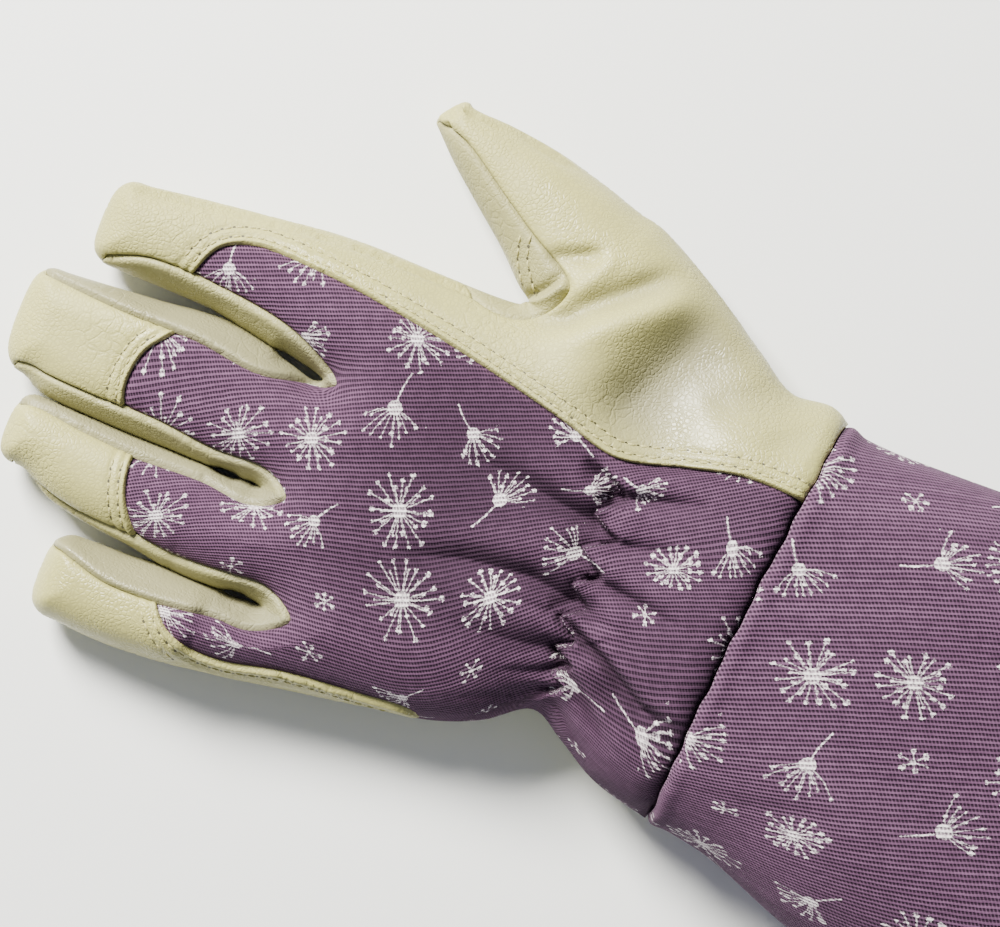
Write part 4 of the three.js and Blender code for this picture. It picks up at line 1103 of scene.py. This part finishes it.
# Painted shade over the whole thumb front, which faces away from the lamp.
THUMB_FRONT_SHADE = 0.5
thumb_sheets = []
for on_top in (True, False):
    def in_thumb_front(places, area=thumb_areas[on_top]):
        return inside(area, places) & ~inside(gauntlet_area, places)

    cuts = [thumb_mouth] if on_top else []
    plan, faces = cut_panel(in_thumb_front, [thumb_lines[on_top]], cuts, on_top)
    offset = tucked([thumb_lines[on_top]], plan, *THUMB_FRONT_TUCK) * (0.75 + 0.25 * ease(54, 60, plan[:, 1]))
    if on_top:
        from_roll = away_from(smooth_line(WEB_ROLL, EDGE_STEP), plan)
        from_crease = away_from(smooth_line(WEB_CREASE, EDGE_STEP), plan)
        offset += WEB_ROLL_HEIGHT * dent(from_roll, WEB_ROLL_HALF)
        offset -= WEB_CREASE_DEPTH * dent(from_crease, WEB_CREASE_HALF)
    thumb_sheets.append(raise_sheet(plan, faces, on_top, offset))
make_piece("thumb_front", thumb_sheets, leather, painted_shade=lambda places: THUMB_FRONT_SHADE)

# Palm: one piece of the same leather from the finger tips to the wrist, on which the glove lies.
# It is sewn all round to the panels above, with its edges turned into the seams.
palm_seams = [*strip_lines[False], thumb_lines[False], wrist_line]


def in_palm(places):
    return ~in_any(areas_beside[False], places)


plan, faces = cut_panel(in_palm, palm_seams, strip_mouths[False], False)
palm_sheet = raise_sheet(plan, faces, False, tucked(palm_seams, plan))
make_piece("palm", [palm_sheet], leather)

# Back of the hand: ribbed cotton, printed white on purple with seed heads, lapped under the
# leather. Elastic sewn in a zigzag on the inside draws it up into gathers above the wrist.
UNDER_LEATHER = 1.4
ZIGZAG = [(25.3, 24.2), (33.2, 19.3), (27.5, 13.3), (34.8, 8.7), (27.8, 4.5), (34.6, -0.9), (28.8, -4.5),
          (34.2, -9.1), (29, -13.1), (34.7, -17.8), (30.7, -20.5), (36, -23.7), (31.9, -27), (36, -29.1),
          (32.1, -32.8)]
# Breadth of a rib, length of a thread that shows on it, and breadth of the cells of the print.
RIB = 1.12
DOT = 0.72
MOTIF_CELL = 20.5
# Where the ribs sit square across the hand, and the drawn-in line that they fan out from.
RIBS_SET_AT = 4
WAIST_ACROSS = [-50, -42, -32, -24, -14, -5, 6, 15]
WAIST_ALONG = [19, 20, 23, 26, 30, 33, 34, 30]
TRACE_STEPS = 60
TUCKS_FROM = -19
TUCKED_SHARE = 0.3


def distance_of(tree, a, b):
    squares = calc(tree, "ADD", calc(tree, "POWER", a, 2.0), calc(tree, "POWER", b, 2.0))
    return calc(tree, "SQRT", squares)


def seed_heads(tree, even):
    """A print of seed heads, drawn by formula in cells of even size: 1 on the print, 0 beside it."""
    SCATTER = 0.44
    BROAD_SHAKE = (1.3, 0.75)
    FINE_SHAKE = (3.1, 0.32)
    FULL_TURN = 2 * math.pi
    # A head is a fan with a stem where its luck in kinds is above the first, small where below the second.
    FANS_ABOVE = 0.5
    SMALL_BELOW = 0.14
    BIGGEST_HEAD = 10.4
    SHARE_OF_ROOM = 1.1
    SMALLER_BY = -0.66
    FAN_HALF_ANGLE = 1.3
    SPOKES_BOWED = 0.45
    # Each ring of spokes by its count, its shift, and its shortest and longest reach.
    OUTER_SPOKES = (16, 0.0, 0.64, 0.98)
    INNER_SPOKES = (10, 0.37, 0.34, 0.7)
    SMALL_HEAD_SPOKES = (6, 0.15, 0.7, 1.0)
    STALK_HALF = 0.07
    STALK_WHITENESS = 0.8
    STEM_HALF = 0.12
    STEM_BEND = 0.02
    STEM_REACH = 0.97
    STEM_BEYOND_ANGLE = 1.9
    HEART = 0.18

    def motif_cells(feature):
        made = tree.nodes.new("ShaderNodeTexVoronoi")
        made.voronoi_dimensions = "2D"
        made.feature = feature
        connect(tree, even, made.inputs["Vector"])
        made.inputs["Scale"].default_value = 1 / MOTIF_CELL
        made.inputs["Randomness"].default_value = SCATTER
        return made.outputs

    heads = motif_cells("F1")
    turn_luck, size_luck, kind_luck = parts_of(tree, heads["Color"], "Color")
    from_middle = tree.nodes.new("ShaderNodeVectorMath")
    from_middle.operation = "SUBTRACT"
    connect(tree, moved(tree, moved(tree, even, *BROAD_SHAKE), *FINE_SHAKE), from_middle.inputs[0])
    connect(tree, heads["Position"], from_middle.inputs[1])
    x, y, _ = parts_of(tree, from_middle.outputs[0])
    radius = distance_of(tree, x, y)
    turned = calc(tree, "MULTIPLY_ADD", turn_luck, FULL_TURN, calc(tree, "ARCTAN2", y, x))
    turned = calc(tree, "WRAP", turned, math.pi, -math.pi)
    from_axis = calc(tree, "ABSOLUTE", turned)
    is_fan = calc(tree, "GREATER_THAN", kind_luck, FANS_ABOVE)
    is_small = calc(tree, "LESS_THAN", kind_luck, SMALL_BELOW)
    room = calc(tree, "MULTIPLY", motif_cells("N_SPHERE_RADIUS")["Radius"], MOTIF_CELL * SHARE_OF_ROOM)
    size = calc(tree, "MULTIPLY", calc(tree, "MINIMUM", room, BIGGEST_HEAD),
                calc(tree, "MULTIPLY_ADD", size_luck, 0.16, 0.86))
    size = calc(tree, "MULTIPLY", size, calc(tree, "MULTIPLY_ADD", is_small, SMALLER_BY, 1.0))
    open_half = calc(tree, "MULTIPLY_ADD", is_fan, FAN_HALF_ANGLE - math.pi, math.pi)
    in_fan = calc(tree, "LESS_THAN", from_axis, open_half)
    share = calc(tree, "DIVIDE", radius, size)
    bow = calc(tree, "MULTIPLY", calc(tree, "MULTIPLY", calc(tree, "SINE", turned), is_fan), SPOKES_BOWED)
    bowed = calc(tree, "MULTIPLY_ADD", bow, share, turned)

    def stroke(distance, half):
        """1 within half a breadth, 0 beyond it, with a soft edge."""
        return ramp(tree, calc(tree, "SUBTRACT", distance, half), -0.04, 0.16, 1.0, 0.0)

    def spokes(count, shift, low_reach, high_reach):
        """Stalks from the middle, each with a bead somewhere near its end."""
        step = calc(tree, "MULTIPLY_ADD", bowed, count / FULL_TURN, shift)
        pair = tree.nodes.new("ShaderNodeCombineXYZ")
        connect(tree, calc(tree, "FLOOR", step), pair.inputs[0])
        connect(tree, calc(tree, "MULTIPLY", turn_luck, 91.7), pair.inputs[1])
        fortune = tree.nodes.new("ShaderNodeTexWhiteNoise")
        fortune.noise_dimensions = "2D"
        connect(tree, pair.outputs[0], fortune.inputs["Vector"])
        length_luck, side_luck, bead_luck = parts_of(tree, fortune.outputs["Color"], "Color")
        middle = calc(tree, "MULTIPLY_ADD", side_luck, 0.4, 0.3)
        lean = calc(tree, "SUBTRACT", calc(tree, "FRACT", step), middle)
        angle = calc(tree, "MULTIPLY", lean, FULL_TURN / count)
        along = calc(tree, "MULTIPLY", radius, calc(tree, "COSINE", angle))
        across = calc(tree, "MULTIPLY", radius, calc(tree, "SINE", angle))
        reach = calc(tree, "MULTIPLY_ADD", length_luck, high_reach - low_reach, low_reach)
        past = calc(tree, "SUBTRACT", along, calc(tree, "MULTIPLY", size, reach))
        stalk = calc(tree, "MULTIPLY", stroke(calc(tree, "ABSOLUTE", across), STALK_HALF), stroke(past, 0.0))
        lumps = calc(tree, "MULTIPLY_ADD", noise(tree, even, 1.9, 1.0), 1.3, -0.62)
        from_bead = calc(tree, "ADD", distance_of(tree, past, across), lumps)
        bead = stroke(from_bead, calc(tree, "MULTIPLY_ADD", bead_luck, 0.35, 0.28))
        return calc(tree, "MAXIMUM", calc(tree, "MULTIPLY", stalk, STALK_WHITENESS), bead)

    head = calc(tree, "MAXIMUM", spokes(*OUTER_SPOKES), spokes(*INNER_SPOKES))
    head = blend_numbers(tree, is_small, head, spokes(*SMALL_HEAD_SPOKES))
    head = calc(tree, "MULTIPLY", head, in_fan)
    bend = calc(tree, "MULTIPLY", calc(tree, "POWER", radius, 2.0), STEM_BEND)
    from_stem = calc(tree, "SUBTRACT", calc(tree, "MULTIPLY", radius, calc(tree, "SINE", turned)), bend)
    stem = stroke(calc(tree, "ABSOLUTE", from_stem), STEM_HALF)
    stem = calc(tree, "MULTIPLY", stem, calc(tree, "GREATER_THAN", from_axis, STEM_BEYOND_ANGLE))
    stem = calc(tree, "MULTIPLY", stem, stroke(radius, calc(tree, "MULTIPLY", size, STEM_REACH)))
    stem = calc(tree, "MULTIPLY", stem, is_fan)
    heart = stroke(radius, calc(tree, "MULTIPLY", size, HEART))
    mark = calc(tree, "MAXIMUM", calc(tree, "MAXIMUM", head, stem), heart)
    worn_print = ramp(tree, noise(tree, even, 1.6, 3.0), 0.3, 0.55, 0.35, 1.0)
    return calc(tree, "MULTIPLY", mark, worn_print)


def make_fabric(name, printed):
    """Ribbed cotton in purple: the right side has a white print, the wrong side has none and is paler."""
    LIGHT_RIB = (0.152, 0.075, 0.147, 1)
    DARK_RIB = (0.108, 0.051, 0.105, 1)
    FADED = (0.16, 0.084, 0.153, 1)
    VALLEY = (0.013, 0.0055, 0.0135, 1)
    WRONG_SIDE = (0.36, 0.25, 0.35, 1)
    WHITE = (0.86, 0.80, 0.84, 1)
    PRINTED_VALLEY = (0.14, 0.088, 0.135, 1)
    SHADED = (0.036, 0.017, 0.036, 1)
    THREAD_SHAKE = (0.3, 0.35)
    DOTS_SHIFTED = 0.36
    SHADED_SHARE = 0.8
    FADED_SHARE = 0.18
    WRONG_SIDE_SHARE = 0.4
    TICKED_SHARE = 0.22
    SLUBBED_SHARE = 0.24
    FUZZ_HEIGHT = 0.25
    SWELL_HEIGHT = 1.6
    WEAVE_STRENGTH = 0.8
    WEAVE_DEPTH = 0.0003
    material, tree, shader = new_material(name)
    cloth = tree.nodes.new("ShaderNodeUVMap")
    cloth.uv_map = "cloth"
    even = cloth.outputs[0]
    along, across, _ = parts_of(tree, moved(tree, even, *THREAD_SHAKE))
    rib_count = calc(tree, "DIVIDE", across, RIB)
    from_rib = calc(tree, "ABSOLUTE", calc(tree, "SUBTRACT", calc(tree, "FRACT", rib_count), 0.5))
    line = ramp(tree, from_rib, 0.12, 0.38)
    dot_count = calc(tree, "MULTIPLY_ADD", rib_count, DOTS_SHIFTED, calc(tree, "DIVIDE", along, DOT))
    wave = calc(tree, "SINE", calc(tree, "MULTIPLY", dot_count, 2 * math.pi))
    valley = calc(tree, "MULTIPLY", line, ramp(tree, wave, -0.85, 0.35, 0.45, 1.0))
    tick = ramp(tree, wave, -0.6, 0.9, 0.0, TICKED_SHARE)
    rib_tone = tree.nodes.new("ShaderNodeTexWhiteNoise")
    rib_tone.noise_dimensions = "1D"
    connect(tree, calc(tree, "FLOOR", rib_count), rib_tone.inputs["W"])
    purple = blend_colours(tree, rib_tone.outputs["Value"], LIGHT_RIB, DARK_RIB)
    fade = calc(tree, "MULTIPLY", ramp(tree, noise(tree, even, 0.05, 3.0), 0.3, 0.7), FADED_SHARE)
    purple = blend_colours(tree, fade, purple, FADED)
    if not printed:
        purple = blend_colours(tree, WRONG_SIDE_SHARE, purple, WRONG_SIDE)
    # Painted shade: the fabric is darkened in the gathers, in the folds and over the middle of the hand.
    purple = blend_colours(tree, calc(tree, "MULTIPLY", painted_shade_share(tree), SHADED_SHARE), purple, SHADED)
    slub = ramp(tree, noise(tree, even, 0.42, 4.0), 0.3, 0.7, 0.0, SLUBBED_SHARE)
    purple = blend_colours(tree, calc(tree, "ADD", tick, slub), purple, VALLEY)
    mark = seed_heads(tree, even) if printed else 0.0
    rib_face = blend_colours(tree, mark, purple, WHITE)
    gap_tone = blend_colours(tree, mark, VALLEY, PRINTED_VALLEY)
    gap_share = calc(tree, "MULTIPLY", valley, calc(tree, "MULTIPLY_ADD", mark, -0.15, 0.95))
    connect(tree, blend_colours(tree, gap_share, rib_face, gap_tone), shader.inputs["Base Color"])
    height = calc(tree, "SUBTRACT", calc(tree, "MULTIPLY", noise(tree, even, 5.0, 2.0), FUZZ_HEIGHT), valley)
    height = calc(tree, "MULTIPLY_ADD", noise(tree, even, 0.13, 2.0), SWELL_HEIGHT, height)
    raise_bumps(tree, shader, height, WEAVE_STRENGTH, WEAVE_DEPTH)
    shader.inputs["Roughness"].default_value = 0.88
    shader.inputs["Specular IOR Level"].default_value = 0.15
    shader.inputs["Sheen Weight"].default_value = 0.04
    shader.inputs["Sheen Roughness"].default_value = 0.5
    shader.inputs["Sheen Tint"].default_value = (0.8, 0.55, 0.75, 1)
    return material


fabric = make_fabric("printed_fabric", True)
lap_seams = [side_seam, middle_seam, ring_seam, little_seam]
lap_areas = [side_area, middle_area, ring_area, little_area]
zigzag_line = smooth_line(ZIGZAG, 0.7, 0.6)


def rib_fall(along, across):
    """How far the ribs fall for each step along the hand, in the picture's own directions.

    They dip below the fingers, rise to the elastic and fan out past it."""
    RISE_BY_FINGERS = 0.2
    DIP = 0.4
    DIP_TURNED = 0.92
    FAN = 1.3
    FAN_RAISED = 0.4
    LEVELLED = 0.5
    LEVELLED_BELOW = 0.45
    LEVEL_AT_LEATHER = 0.85
    fingers = (1 - ease(-75, -30, along)) * ease(-25, -5, across) * (1 - ease(25, 50, across))
    hand = ease(22, -50, across) * (DIP - DIP_TURNED * ease(-28, 0, along)) - RISE_BY_FINGERS * fingers
    levelled = LEVELLED + LEVELLED_BELOW * ease(-58, -44, across) * ease(-4, -16, across)
    wrist = (FAN * ease(8, -58, across) - FAN_RAISED) * (1 - levelled * ease(26, 48, along))
    wrist = wrist * (1 - LEVEL_AT_LEATHER * ease(8, 15, across))
    past = ease(-2, 2, along - np.interp(across, WAIST_ACROSS, WAIST_ALONG))
    return hand + (wrist - hand) * past


def lie(cloth, fall, set_at):
    """Places of the cloth as lengths along and across its ribs, by following each rib to where it is set."""
    along = cloth[:, 0] * math.cos(VIEW_TURN) + cloth[:, 1] * math.sin(VIEW_TURN)
    across = cloth[:, 1] * math.cos(VIEW_TURN) - cloth[:, 0] * math.sin(VIEW_TURN)
    step = (set_at - along) / TRACE_STEPS
    for k in range(TRACE_STEPS):
        across = across - fall(along + (k + 0.5) * step, across) * step
    return np.column_stack([along, across])


def in_back(places):
    near_seam = away_from_all(lap_seams, places) < UNDER_LEATHER
    return ~in_any(areas_beside[True], places) & (~in_any(lap_areas, places) | near_seam)


def held_by_elastic(places):
    """1 across the elastic, 0 past its ends."""
    y = places[:, 1]
    return (1 - ease(21, 27, y)) * ease(-37, -31, y)


def back_offset(places):
    """The fabric sinks under the leather's edge, and the zigzag draws it up to a lip over a deep foot."""
    SUNK = 0.75
    DIP_AT_LEATHER = 0.55
    DIP_HALF = 0.7
    DROP_UNDER_LEATHER = 0.8
    FULLNESS = 0.35
    FULL_WITHIN = 4
    SIDE_TUCK = (0.8, 1.6)
    CUFF_TUCK = (4.2, 7.5)
    LIP_HEIGHT = 1.2
    LIP_REACH = 2.6
    FOOT_DEPTH = 3.1
    FOOT_REACH = 3.4
    THREAD_PINCH = 0.9
    THREAD_PINCH_HALF = 0.4
    away = away_from_all(lap_seams, places)
    away = np.where(in_any(lap_areas, places), -away, away)
    rise = -SUNK - DIP_AT_LEATHER * dent(away, DIP_HALF) - DROP_UNDER_LEATHER * ease(0.3, 1.2, -away)
    rise = rise + FULLNESS * (1 - np.exp(-np.maximum(away, 0) / FULL_WITHIN))
    rise = rise + tucked(strip_lines[True], places, *SIDE_TUCK)
    pinch, _, beyond = nearest(zigzag_line, places)
    signed = np.where(beyond, pinch, -pinch)
    lip = LIP_HEIGHT * ease(-0.05, 0.5, signed) * np.exp(-pinch / LIP_REACH)
    foot = -FOOT_DEPTH * (1 - ease(-0.4, 0.2, signed)) * np.exp(-pinch / FOOT_REACH)
    foot = foot * (0.45 + 0.55 * ease(-30, -12, places[:, 1]))
    rise = rise + held_by_elastic(places) * (lip + foot - THREAD_PINCH * dent(pinch, THREAD_PINCH_HALF))
    return rise + tucked([wrist_line], places, *CUFF_TUCK)


def gather_shade(places):
    """Painted shade in the gathers by the elastic, beside the cuff and over the middle of the hand."""
    LIP_SHADE = 0.5
    LIP_SHADE_REACH = 0.5
    FOOT_SHADE_REACH = 1.3
    CUFF_SHADE = 0.35
    CUFF_SHADE_REACH = 3.5
    MIDDLE_SHADE = 0.36
    LOW_SHADE = 0.22
    x, y = places.T
    pinch, _, beyond = nearest(zigzag_line, places)
    foot = (0.4 + 0.35 * ease(-26, -12, y)) * np.exp(-pinch / FOOT_SHADE_REACH)
    near = np.where(beyond, LIP_SHADE * np.exp(-pinch / LIP_SHADE_REACH), foot)
    by_cuff = CUFF_SHADE * np.exp(-away_from(wrist_line, places) / CUFF_SHADE_REACH) * ease(45, 30, y)
    middle = MIDDLE_SHADE * ease(-58, -20, x) * ease(-38, -18, y)
    middle = middle + LOW_SHADE * ease(46, 58, x - 0.5 * y) * ease(8, -12, y)
    return held_by_elastic(places) * near + by_cuff + middle


back_seams = [*lap_seams, *strip_lines[True], wrist_line, zigzag_line]
gather_lines = [line for line, _, _ in GATHER_VALLEYS]
plan, faces = cut_panel(in_back, back_seams, [*strip_mouths[True], thumb_mouth], True, gather_lines)
back_sheet = raise_sheet(plan, faces, True, back_offset(plan))
back_cloth = lie(back_sheet["cloth"], rib_fall, RIBS_SET_AT)
# The elastic holds tucks on the little finger's side, and their cloth comes out again past it.
_, _, beyond = nearest(zigzag_line, plan)
back_cloth[:, 1] -= beyond * TUCKED_SHARE * np.maximum(0, TUCKS_FROM - back_cloth[:, 1])
back_sheet["cloth"] = back_cloth
make_piece("back_fabric", [back_sheet], fabric, painted_shade=gather_shade)

# Gauntlet: a flared tube of the same fabric sewn to the hand at the wrist, with a turned hem at
# the mouth. Its wall shows from the inside through the mouth.
HEM_X = 250
HEM_DEPTH = 16
HEM_WALL = 2.2
WALL = 1.0
HEM_GROOVE = 0.5
HEM_ROUND = 1.1
GAUNTLET_TUCK = (2.6, 1.8)
PUFF_HEIGHT = 0.5
PUFF_AT = 2.4
PUFF_HALF = 1.9
# Rows lie closer by the wrist. Each is drawn up to the outline, from a first guess of its two ends.
GAUNTLET_ROWS = 170
CLOSER_BY_WRIST = 1.25
ACROSS = 110
FIRST_HIGH = 56.0
FIRST_LOW = -52.0
GUESSES = 6
EDGES_FROM = 55
GAUNTLET_RIBS_SET_AT = 110
GAUNTLET_CLOTH_START = 8
GAUNTLET_CLOTH_SCALE = (0.82, 0.93)


def gauntlet_x(share, y):
    return wrist_x(y) * (1 - share) + HEM_X * share


def gauntlet_rib_fall(along, across):
    """The ribs run nearly level in the middle and fall with the gauntlet's lower edge."""
    EDGE_ALONG = [45, 100, 320]
    EDGE_ACROSS = [-74, -118, -228]
    LEAST_FALL = 0.05
    FALL_AT_EDGE = 0.38
    above_edge = across - np.interp(along, EDGE_ALONG, EDGE_ACROSS)
    return LEAST_FALL + FALL_AT_EDGE * (1 - ease(-18, 42, above_edge))


thumb_edge = outline[(outline[:, 0] > EDGES_FROM) & (outline[:, 1] > 0)]
thumb_edge = thumb_edge[np.argsort(thumb_edge[:, 0])]
little_edge = outline[(outline[:, 0] > EDGES_FROM) & (outline[:, 1] < 0)]
outer = []
inner = []
cloth = []
shares = np.linspace(0, 1, GAUNTLET_ROWS) ** CLOSER_BY_WRIST
across = (1 - np.cos(np.linspace(0, math.pi, ACROSS, endpoint=False))) / 2
for share in shares:
    high = FIRST_HIGH
    low = FIRST_LOW
    for _ in range(GUESSES):
        high = float(np.interp(gauntlet_x(share, high), *thumb_edge.T))
        low = float(np.interp(gauntlet_x(share, low), *little_edge.T))
    ring = []
    for on_top, y in ((True, high + (low - high) * across), (False, low + (high - low) * across)):
        places = np.column_stack([gauntlet_x(share, y), y])
        here = form(places, on_top)
        puff = PUFF_HEIGHT * dent(away_from(wrist_line, places) - PUFF_AT, PUFF_HALF)
        ring.append((here["point"], here["normal"], tucked([wrist_line], places, *GAUNTLET_TUCK) + puff))
    point, normal, offset = (np.concatenate(parts) for parts in zip(*ring))
    mouth = HEM_X - point[:, 0]
    offset -= HEM_GROOVE * dent(mouth - HEM_DEPTH, 0.5)
    wall = np.where(mouth < HEM_DEPTH, HEM_WALL, WALL)
    edge_round = 0.5 * wall * (1 - bulge(mouth / HEM_ROUND))
    outer.append(point + normal * (offset - edge_round)[:, None])
    inner.append(point - normal * (wall - edge_round)[:, None])
    length = np.linalg.norm(np.diff(np.vstack([point, point[:1]]), axis=0), axis=1)
    walked = np.concatenate([[0], np.cumsum(length)])
    along = np.append(point[:, 0], point[0, 0])
    cloth.append(np.column_stack([along, high + GAUNTLET_CLOTH_START - walked]))

around = 2 * ACROSS
inner_start = GAUNTLET_ROWS * around
faces = []
unprinted = []
corner_cloth = []


def add_faces(first, second, flip, bare):
    """A ring of faces between two rings of points, each given by its row and where its layer starts."""
    for i in range(around):
        quad = [(*first, i), (*first, i + 1), (*second, i + 1), (*second, i)]
        if flip:
            quad.reverse()
        faces.append([layer + row * around + k % around for row, layer, k in quad])
        unprinted.append(int(bare))
        corner_cloth.extend(cloth[row][k] for row, _, k in quad)


for layer in (0, inner_start):
    for row in range(GAUNTLET_ROWS - 1):
        past_hem = HEM_X - gauntlet_x(shares[row], 0) > HEM_DEPTH
        add_faces((row, layer), (row + 1, layer), layer > 0, layer > 0 and past_hem)
for row in (0, GAUNTLET_ROWS - 1):
    add_faces((row, 0), (row, inner_start), row == 0, False)
cuff_mesh = bpy.data.meshes.new("cuff")
cuff_mesh.from_pydata((np.vstack([*outer, *inner]) * MM).tolist(), [], faces)
cuff_cloth = lie(np.array(corner_cloth), gauntlet_rib_fall, GAUNTLET_RIBS_SET_AT) * GAUNTLET_CLOTH_SCALE
cuff_mesh.uv_layers.new(name="cloth").data.foreach_set("uv", cuff_cloth.astype(np.float32).ravel())
cuff_mesh.polygons.foreach_set("use_smooth", np.ones(len(cuff_mesh.polygons), bool))
cuff_mesh.materials.append(fabric)
cuff_mesh.materials.append(make_fabric("fabric_wrong_side", False))
cuff_mesh.polygons.foreach_set("material_index", unprinted)
cuff = stand("cuff", cuff_mesh)
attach(cuff, "root")
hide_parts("cuff")

# Stitching: thick cream thread in two rows round each leather edge that lies on the fabric and
# on the thumb's front, and a fine purple thread in the zigzag that holds the elastic.
PITCH = 3.0
STITCH_SHARE = 0.74
THREAD = 0.36
CLEAR_OF_SEAMS = 0.8
LITTLE_SECOND_ROW_END = -55


def make_thread(name, colour):
    """Twisted thread in a colour that is darker between its strands."""
    TWISTS = 2600
    TWIST_STRENGTH = 0.5
    TWIST_DEPTH = 0.0001
    material, tree, shader = new_material(name)
    place = tree.nodes.new("ShaderNodeTexCoord").outputs["Object"]
    twist = noise(tree, place, TWISTS, 2.0)
    dark = (colour[0] * 0.6, colour[1] * 0.58, colour[2] * 0.5, 1)
    tone = blend_colours(tree, ramp(tree, twist, 0.35, 0.65), dark, colour)
    connect(tree, tone, shader.inputs["Base Color"])
    raise_bumps(tree, shader, twist, TWIST_STRENGTH, TWIST_DEPTH)
    shader.inputs["Roughness"].default_value = 0.6
    return material


def sew(name, rows, material, pitch=PITCH, thread=THREAD, holes=True):
    """Stitches, and dark discs of painted shade for their needle holes, along rows, each given by its plan
    line, its height and where it may lie.
    """
    HOLE = 0.43
    HOLE_RAISED = 0.07
    # A stitch dives at both ends: its middle line is an arch over the cloth, and its girth gets less.
    ARCH_HEIGHT = 1.15
    ARCH_DROP = 0.92
    SUNK = 0.85
    END_THINNED = 0.75
    FLATTENED = 0.8
    vertices = []
    faces = []
    hole_faces = []
    sides = 6
    stations = np.linspace(-1, 1, 6)
    ring = np.linspace(0, 2 * math.pi, sides, endpoint=False)
    for line, offset, allowed in rows:
        steps = np.hypot(*np.diff(line, axis=0).T)
        walked = np.concatenate([[0], np.cumsum(steps)])
        count = max(1, round(walked[-1] / pitch))
        middles = (np.arange(count) + 0.5) * walked[-1] / count
        half = walked[-1] / count * STITCH_SHARE / 2
        spots = (middles[:, None] + stations * half).ravel()
        plan = np.column_stack([np.interp(spots, walked, line[:, 0]), np.interp(spots, walked, line[:, 1])])
        here = form(plan, True)
        skin = here["point"] + here["normal"] * offset(plan)[:, None]
        good = (in_glove(plan) & allowed(plan)).reshape(count, -1).all(1)
        skin = skin.reshape(count, -1, 3)
        normal = here["normal"].reshape(count, -1, 3)
        for k in np.flatnonzero(good):
            direction = skin[k, -1] - skin[k, 0]
            direction /= np.linalg.norm(direction)
            start = len(vertices)
            for at, place, up in zip(stations, skin[k], normal[k]):
                across = np.cross(direction, up)
                across /= np.linalg.norm(across)
                arch = thread * (ARCH_HEIGHT * math.sqrt(1 - ARCH_DROP * at * at) - SUNK)
                girth = thread * math.sqrt(1 - END_THINNED * at * at)
                for turn in ring:
                    beside = across * girth * math.cos(turn)
                    above = up * girth * FLATTENED * math.sin(turn)
                    vertices.append(place + up * arch + beside + above)
            for station in range(len(stations) - 1):
                for side in range(sides):
                    a = start + station * sides + side
                    b = start + station * sides + (side + 1) % sides
                    faces.append((a, b, b + sides, a + sides))
            faces.append(tuple(start + i for i in reversed(range(sides))))
            faces.append(tuple(start + (len(stations) - 1) * sides + i for i in range(sides)))
            if not holes:
                continue
            up = normal[k, -1]
            across = np.cross(direction, up)
            middle = skin[k, -1] + direction * half * (1 / STITCH_SHARE - 1) + up * HOLE_RAISED
            hole_faces.append(tuple(len(vertices) + i for i in range(sides)))
            for turn in ring:
                vertices.append(middle + HOLE * (across * math.cos(turn) + direction * math.sin(turn)))
    mesh = bpy.data.meshes.new(name)
    mesh.from_pydata((np.array(vertices) * MM).tolist(), [], faces + hole_faces)
    mesh.polygons.foreach_set("use_smooth", np.ones(len(mesh.polygons), bool))
    mesh.polygons.foreach_set("material_index", np.array([0] * len(faces) + [1] * len(hole_faces), np.int32))
    mesh.materials.append(material)
    mesh.materials.append(needle_hole_shade)
    piece = stand(name, mesh)
    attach(piece, "root")


# Dark discs over the leather at the ends of the stitches: painted shade standing for the needle holes.
needle_hole_shade = make_thread("needle_hole_shade", (0.05, 0.045, 0.02, 1))
cream_thread = make_thread("cream_thread", (0.48, 0.45, 0.2, 1))
purple_thread = make_thread("purple_thread", (0.13, 0.085, 0.14, 1))


def shifted(line, by):
    return line + aside_of(line) * by


# Two rows follow each lapped edge. On the little finger's side the second one ends early.
for name, area, seams, offset in LEATHER_PANELS:
    def on_leather(places, area=area, turned=seams[1:]):
        clear = away_from_all(turned, places) > CLEAR_OF_SEAMS
        return inside(area, places) & clear & ~in_any(areas_beside[True], places)

    rows = []
    for row in STITCH_ROWS:
        if name == "little_side" and row == max(STITCH_ROWS):
            def on_leather(places, whole=on_leather):
                return whole(places) & (places[:, 0] < LITTLE_SECOND_ROW_END)

        line = shifted(seams[0], row)
        if not inside(area, line[len(line) // 2:len(line) // 2 + 1])[0]:
            line = shifted(seams[0], -row)
        rows.append((line, offset, on_leather))
    sew(name + "_stitching", rows, cream_thread)

# Two short rows hold the thumb's front near the web.
THUMB_STITCHES = [(-14, 70.6), (-12.3, 64.7), (-9.9, 60.9), (-7.4, 57.4)]
THUMB_ROWS = [-1.2, 1.2]


def on_thumb_front(places):
    return inside(thumb_areas[True], places)


def thumb_offset(places):
    return tucked([thumb_lines[True]], places)


thumb_line = smooth_line(THUMB_STITCHES, EDGE_STEP)
thumb_rows = [(shifted(thumb_line, by), thumb_offset, on_thumb_front) for by in THUMB_ROWS]
sew("thumb_stitching", thumb_rows, cream_thread)

# The zigzag's fine stitches touch each other, and no needle holes show in the fabric.
FINE_PITCH = 1.0
FINE_THREAD = 0.17


def anywhere(places):
    return np.ones(len(places), bool)


zigzag = np.vstack([np.linspace(a, b, 12) for a, b in zip(ZIGZAG[:-1], ZIGZAG[1:])])
gather_rows = [(zigzag, back_offset, anywhere)]
sew("gather_stitching", gather_rows, purple_thread, pitch=FINE_PITCH, thread=FINE_THREAD, holes=False)
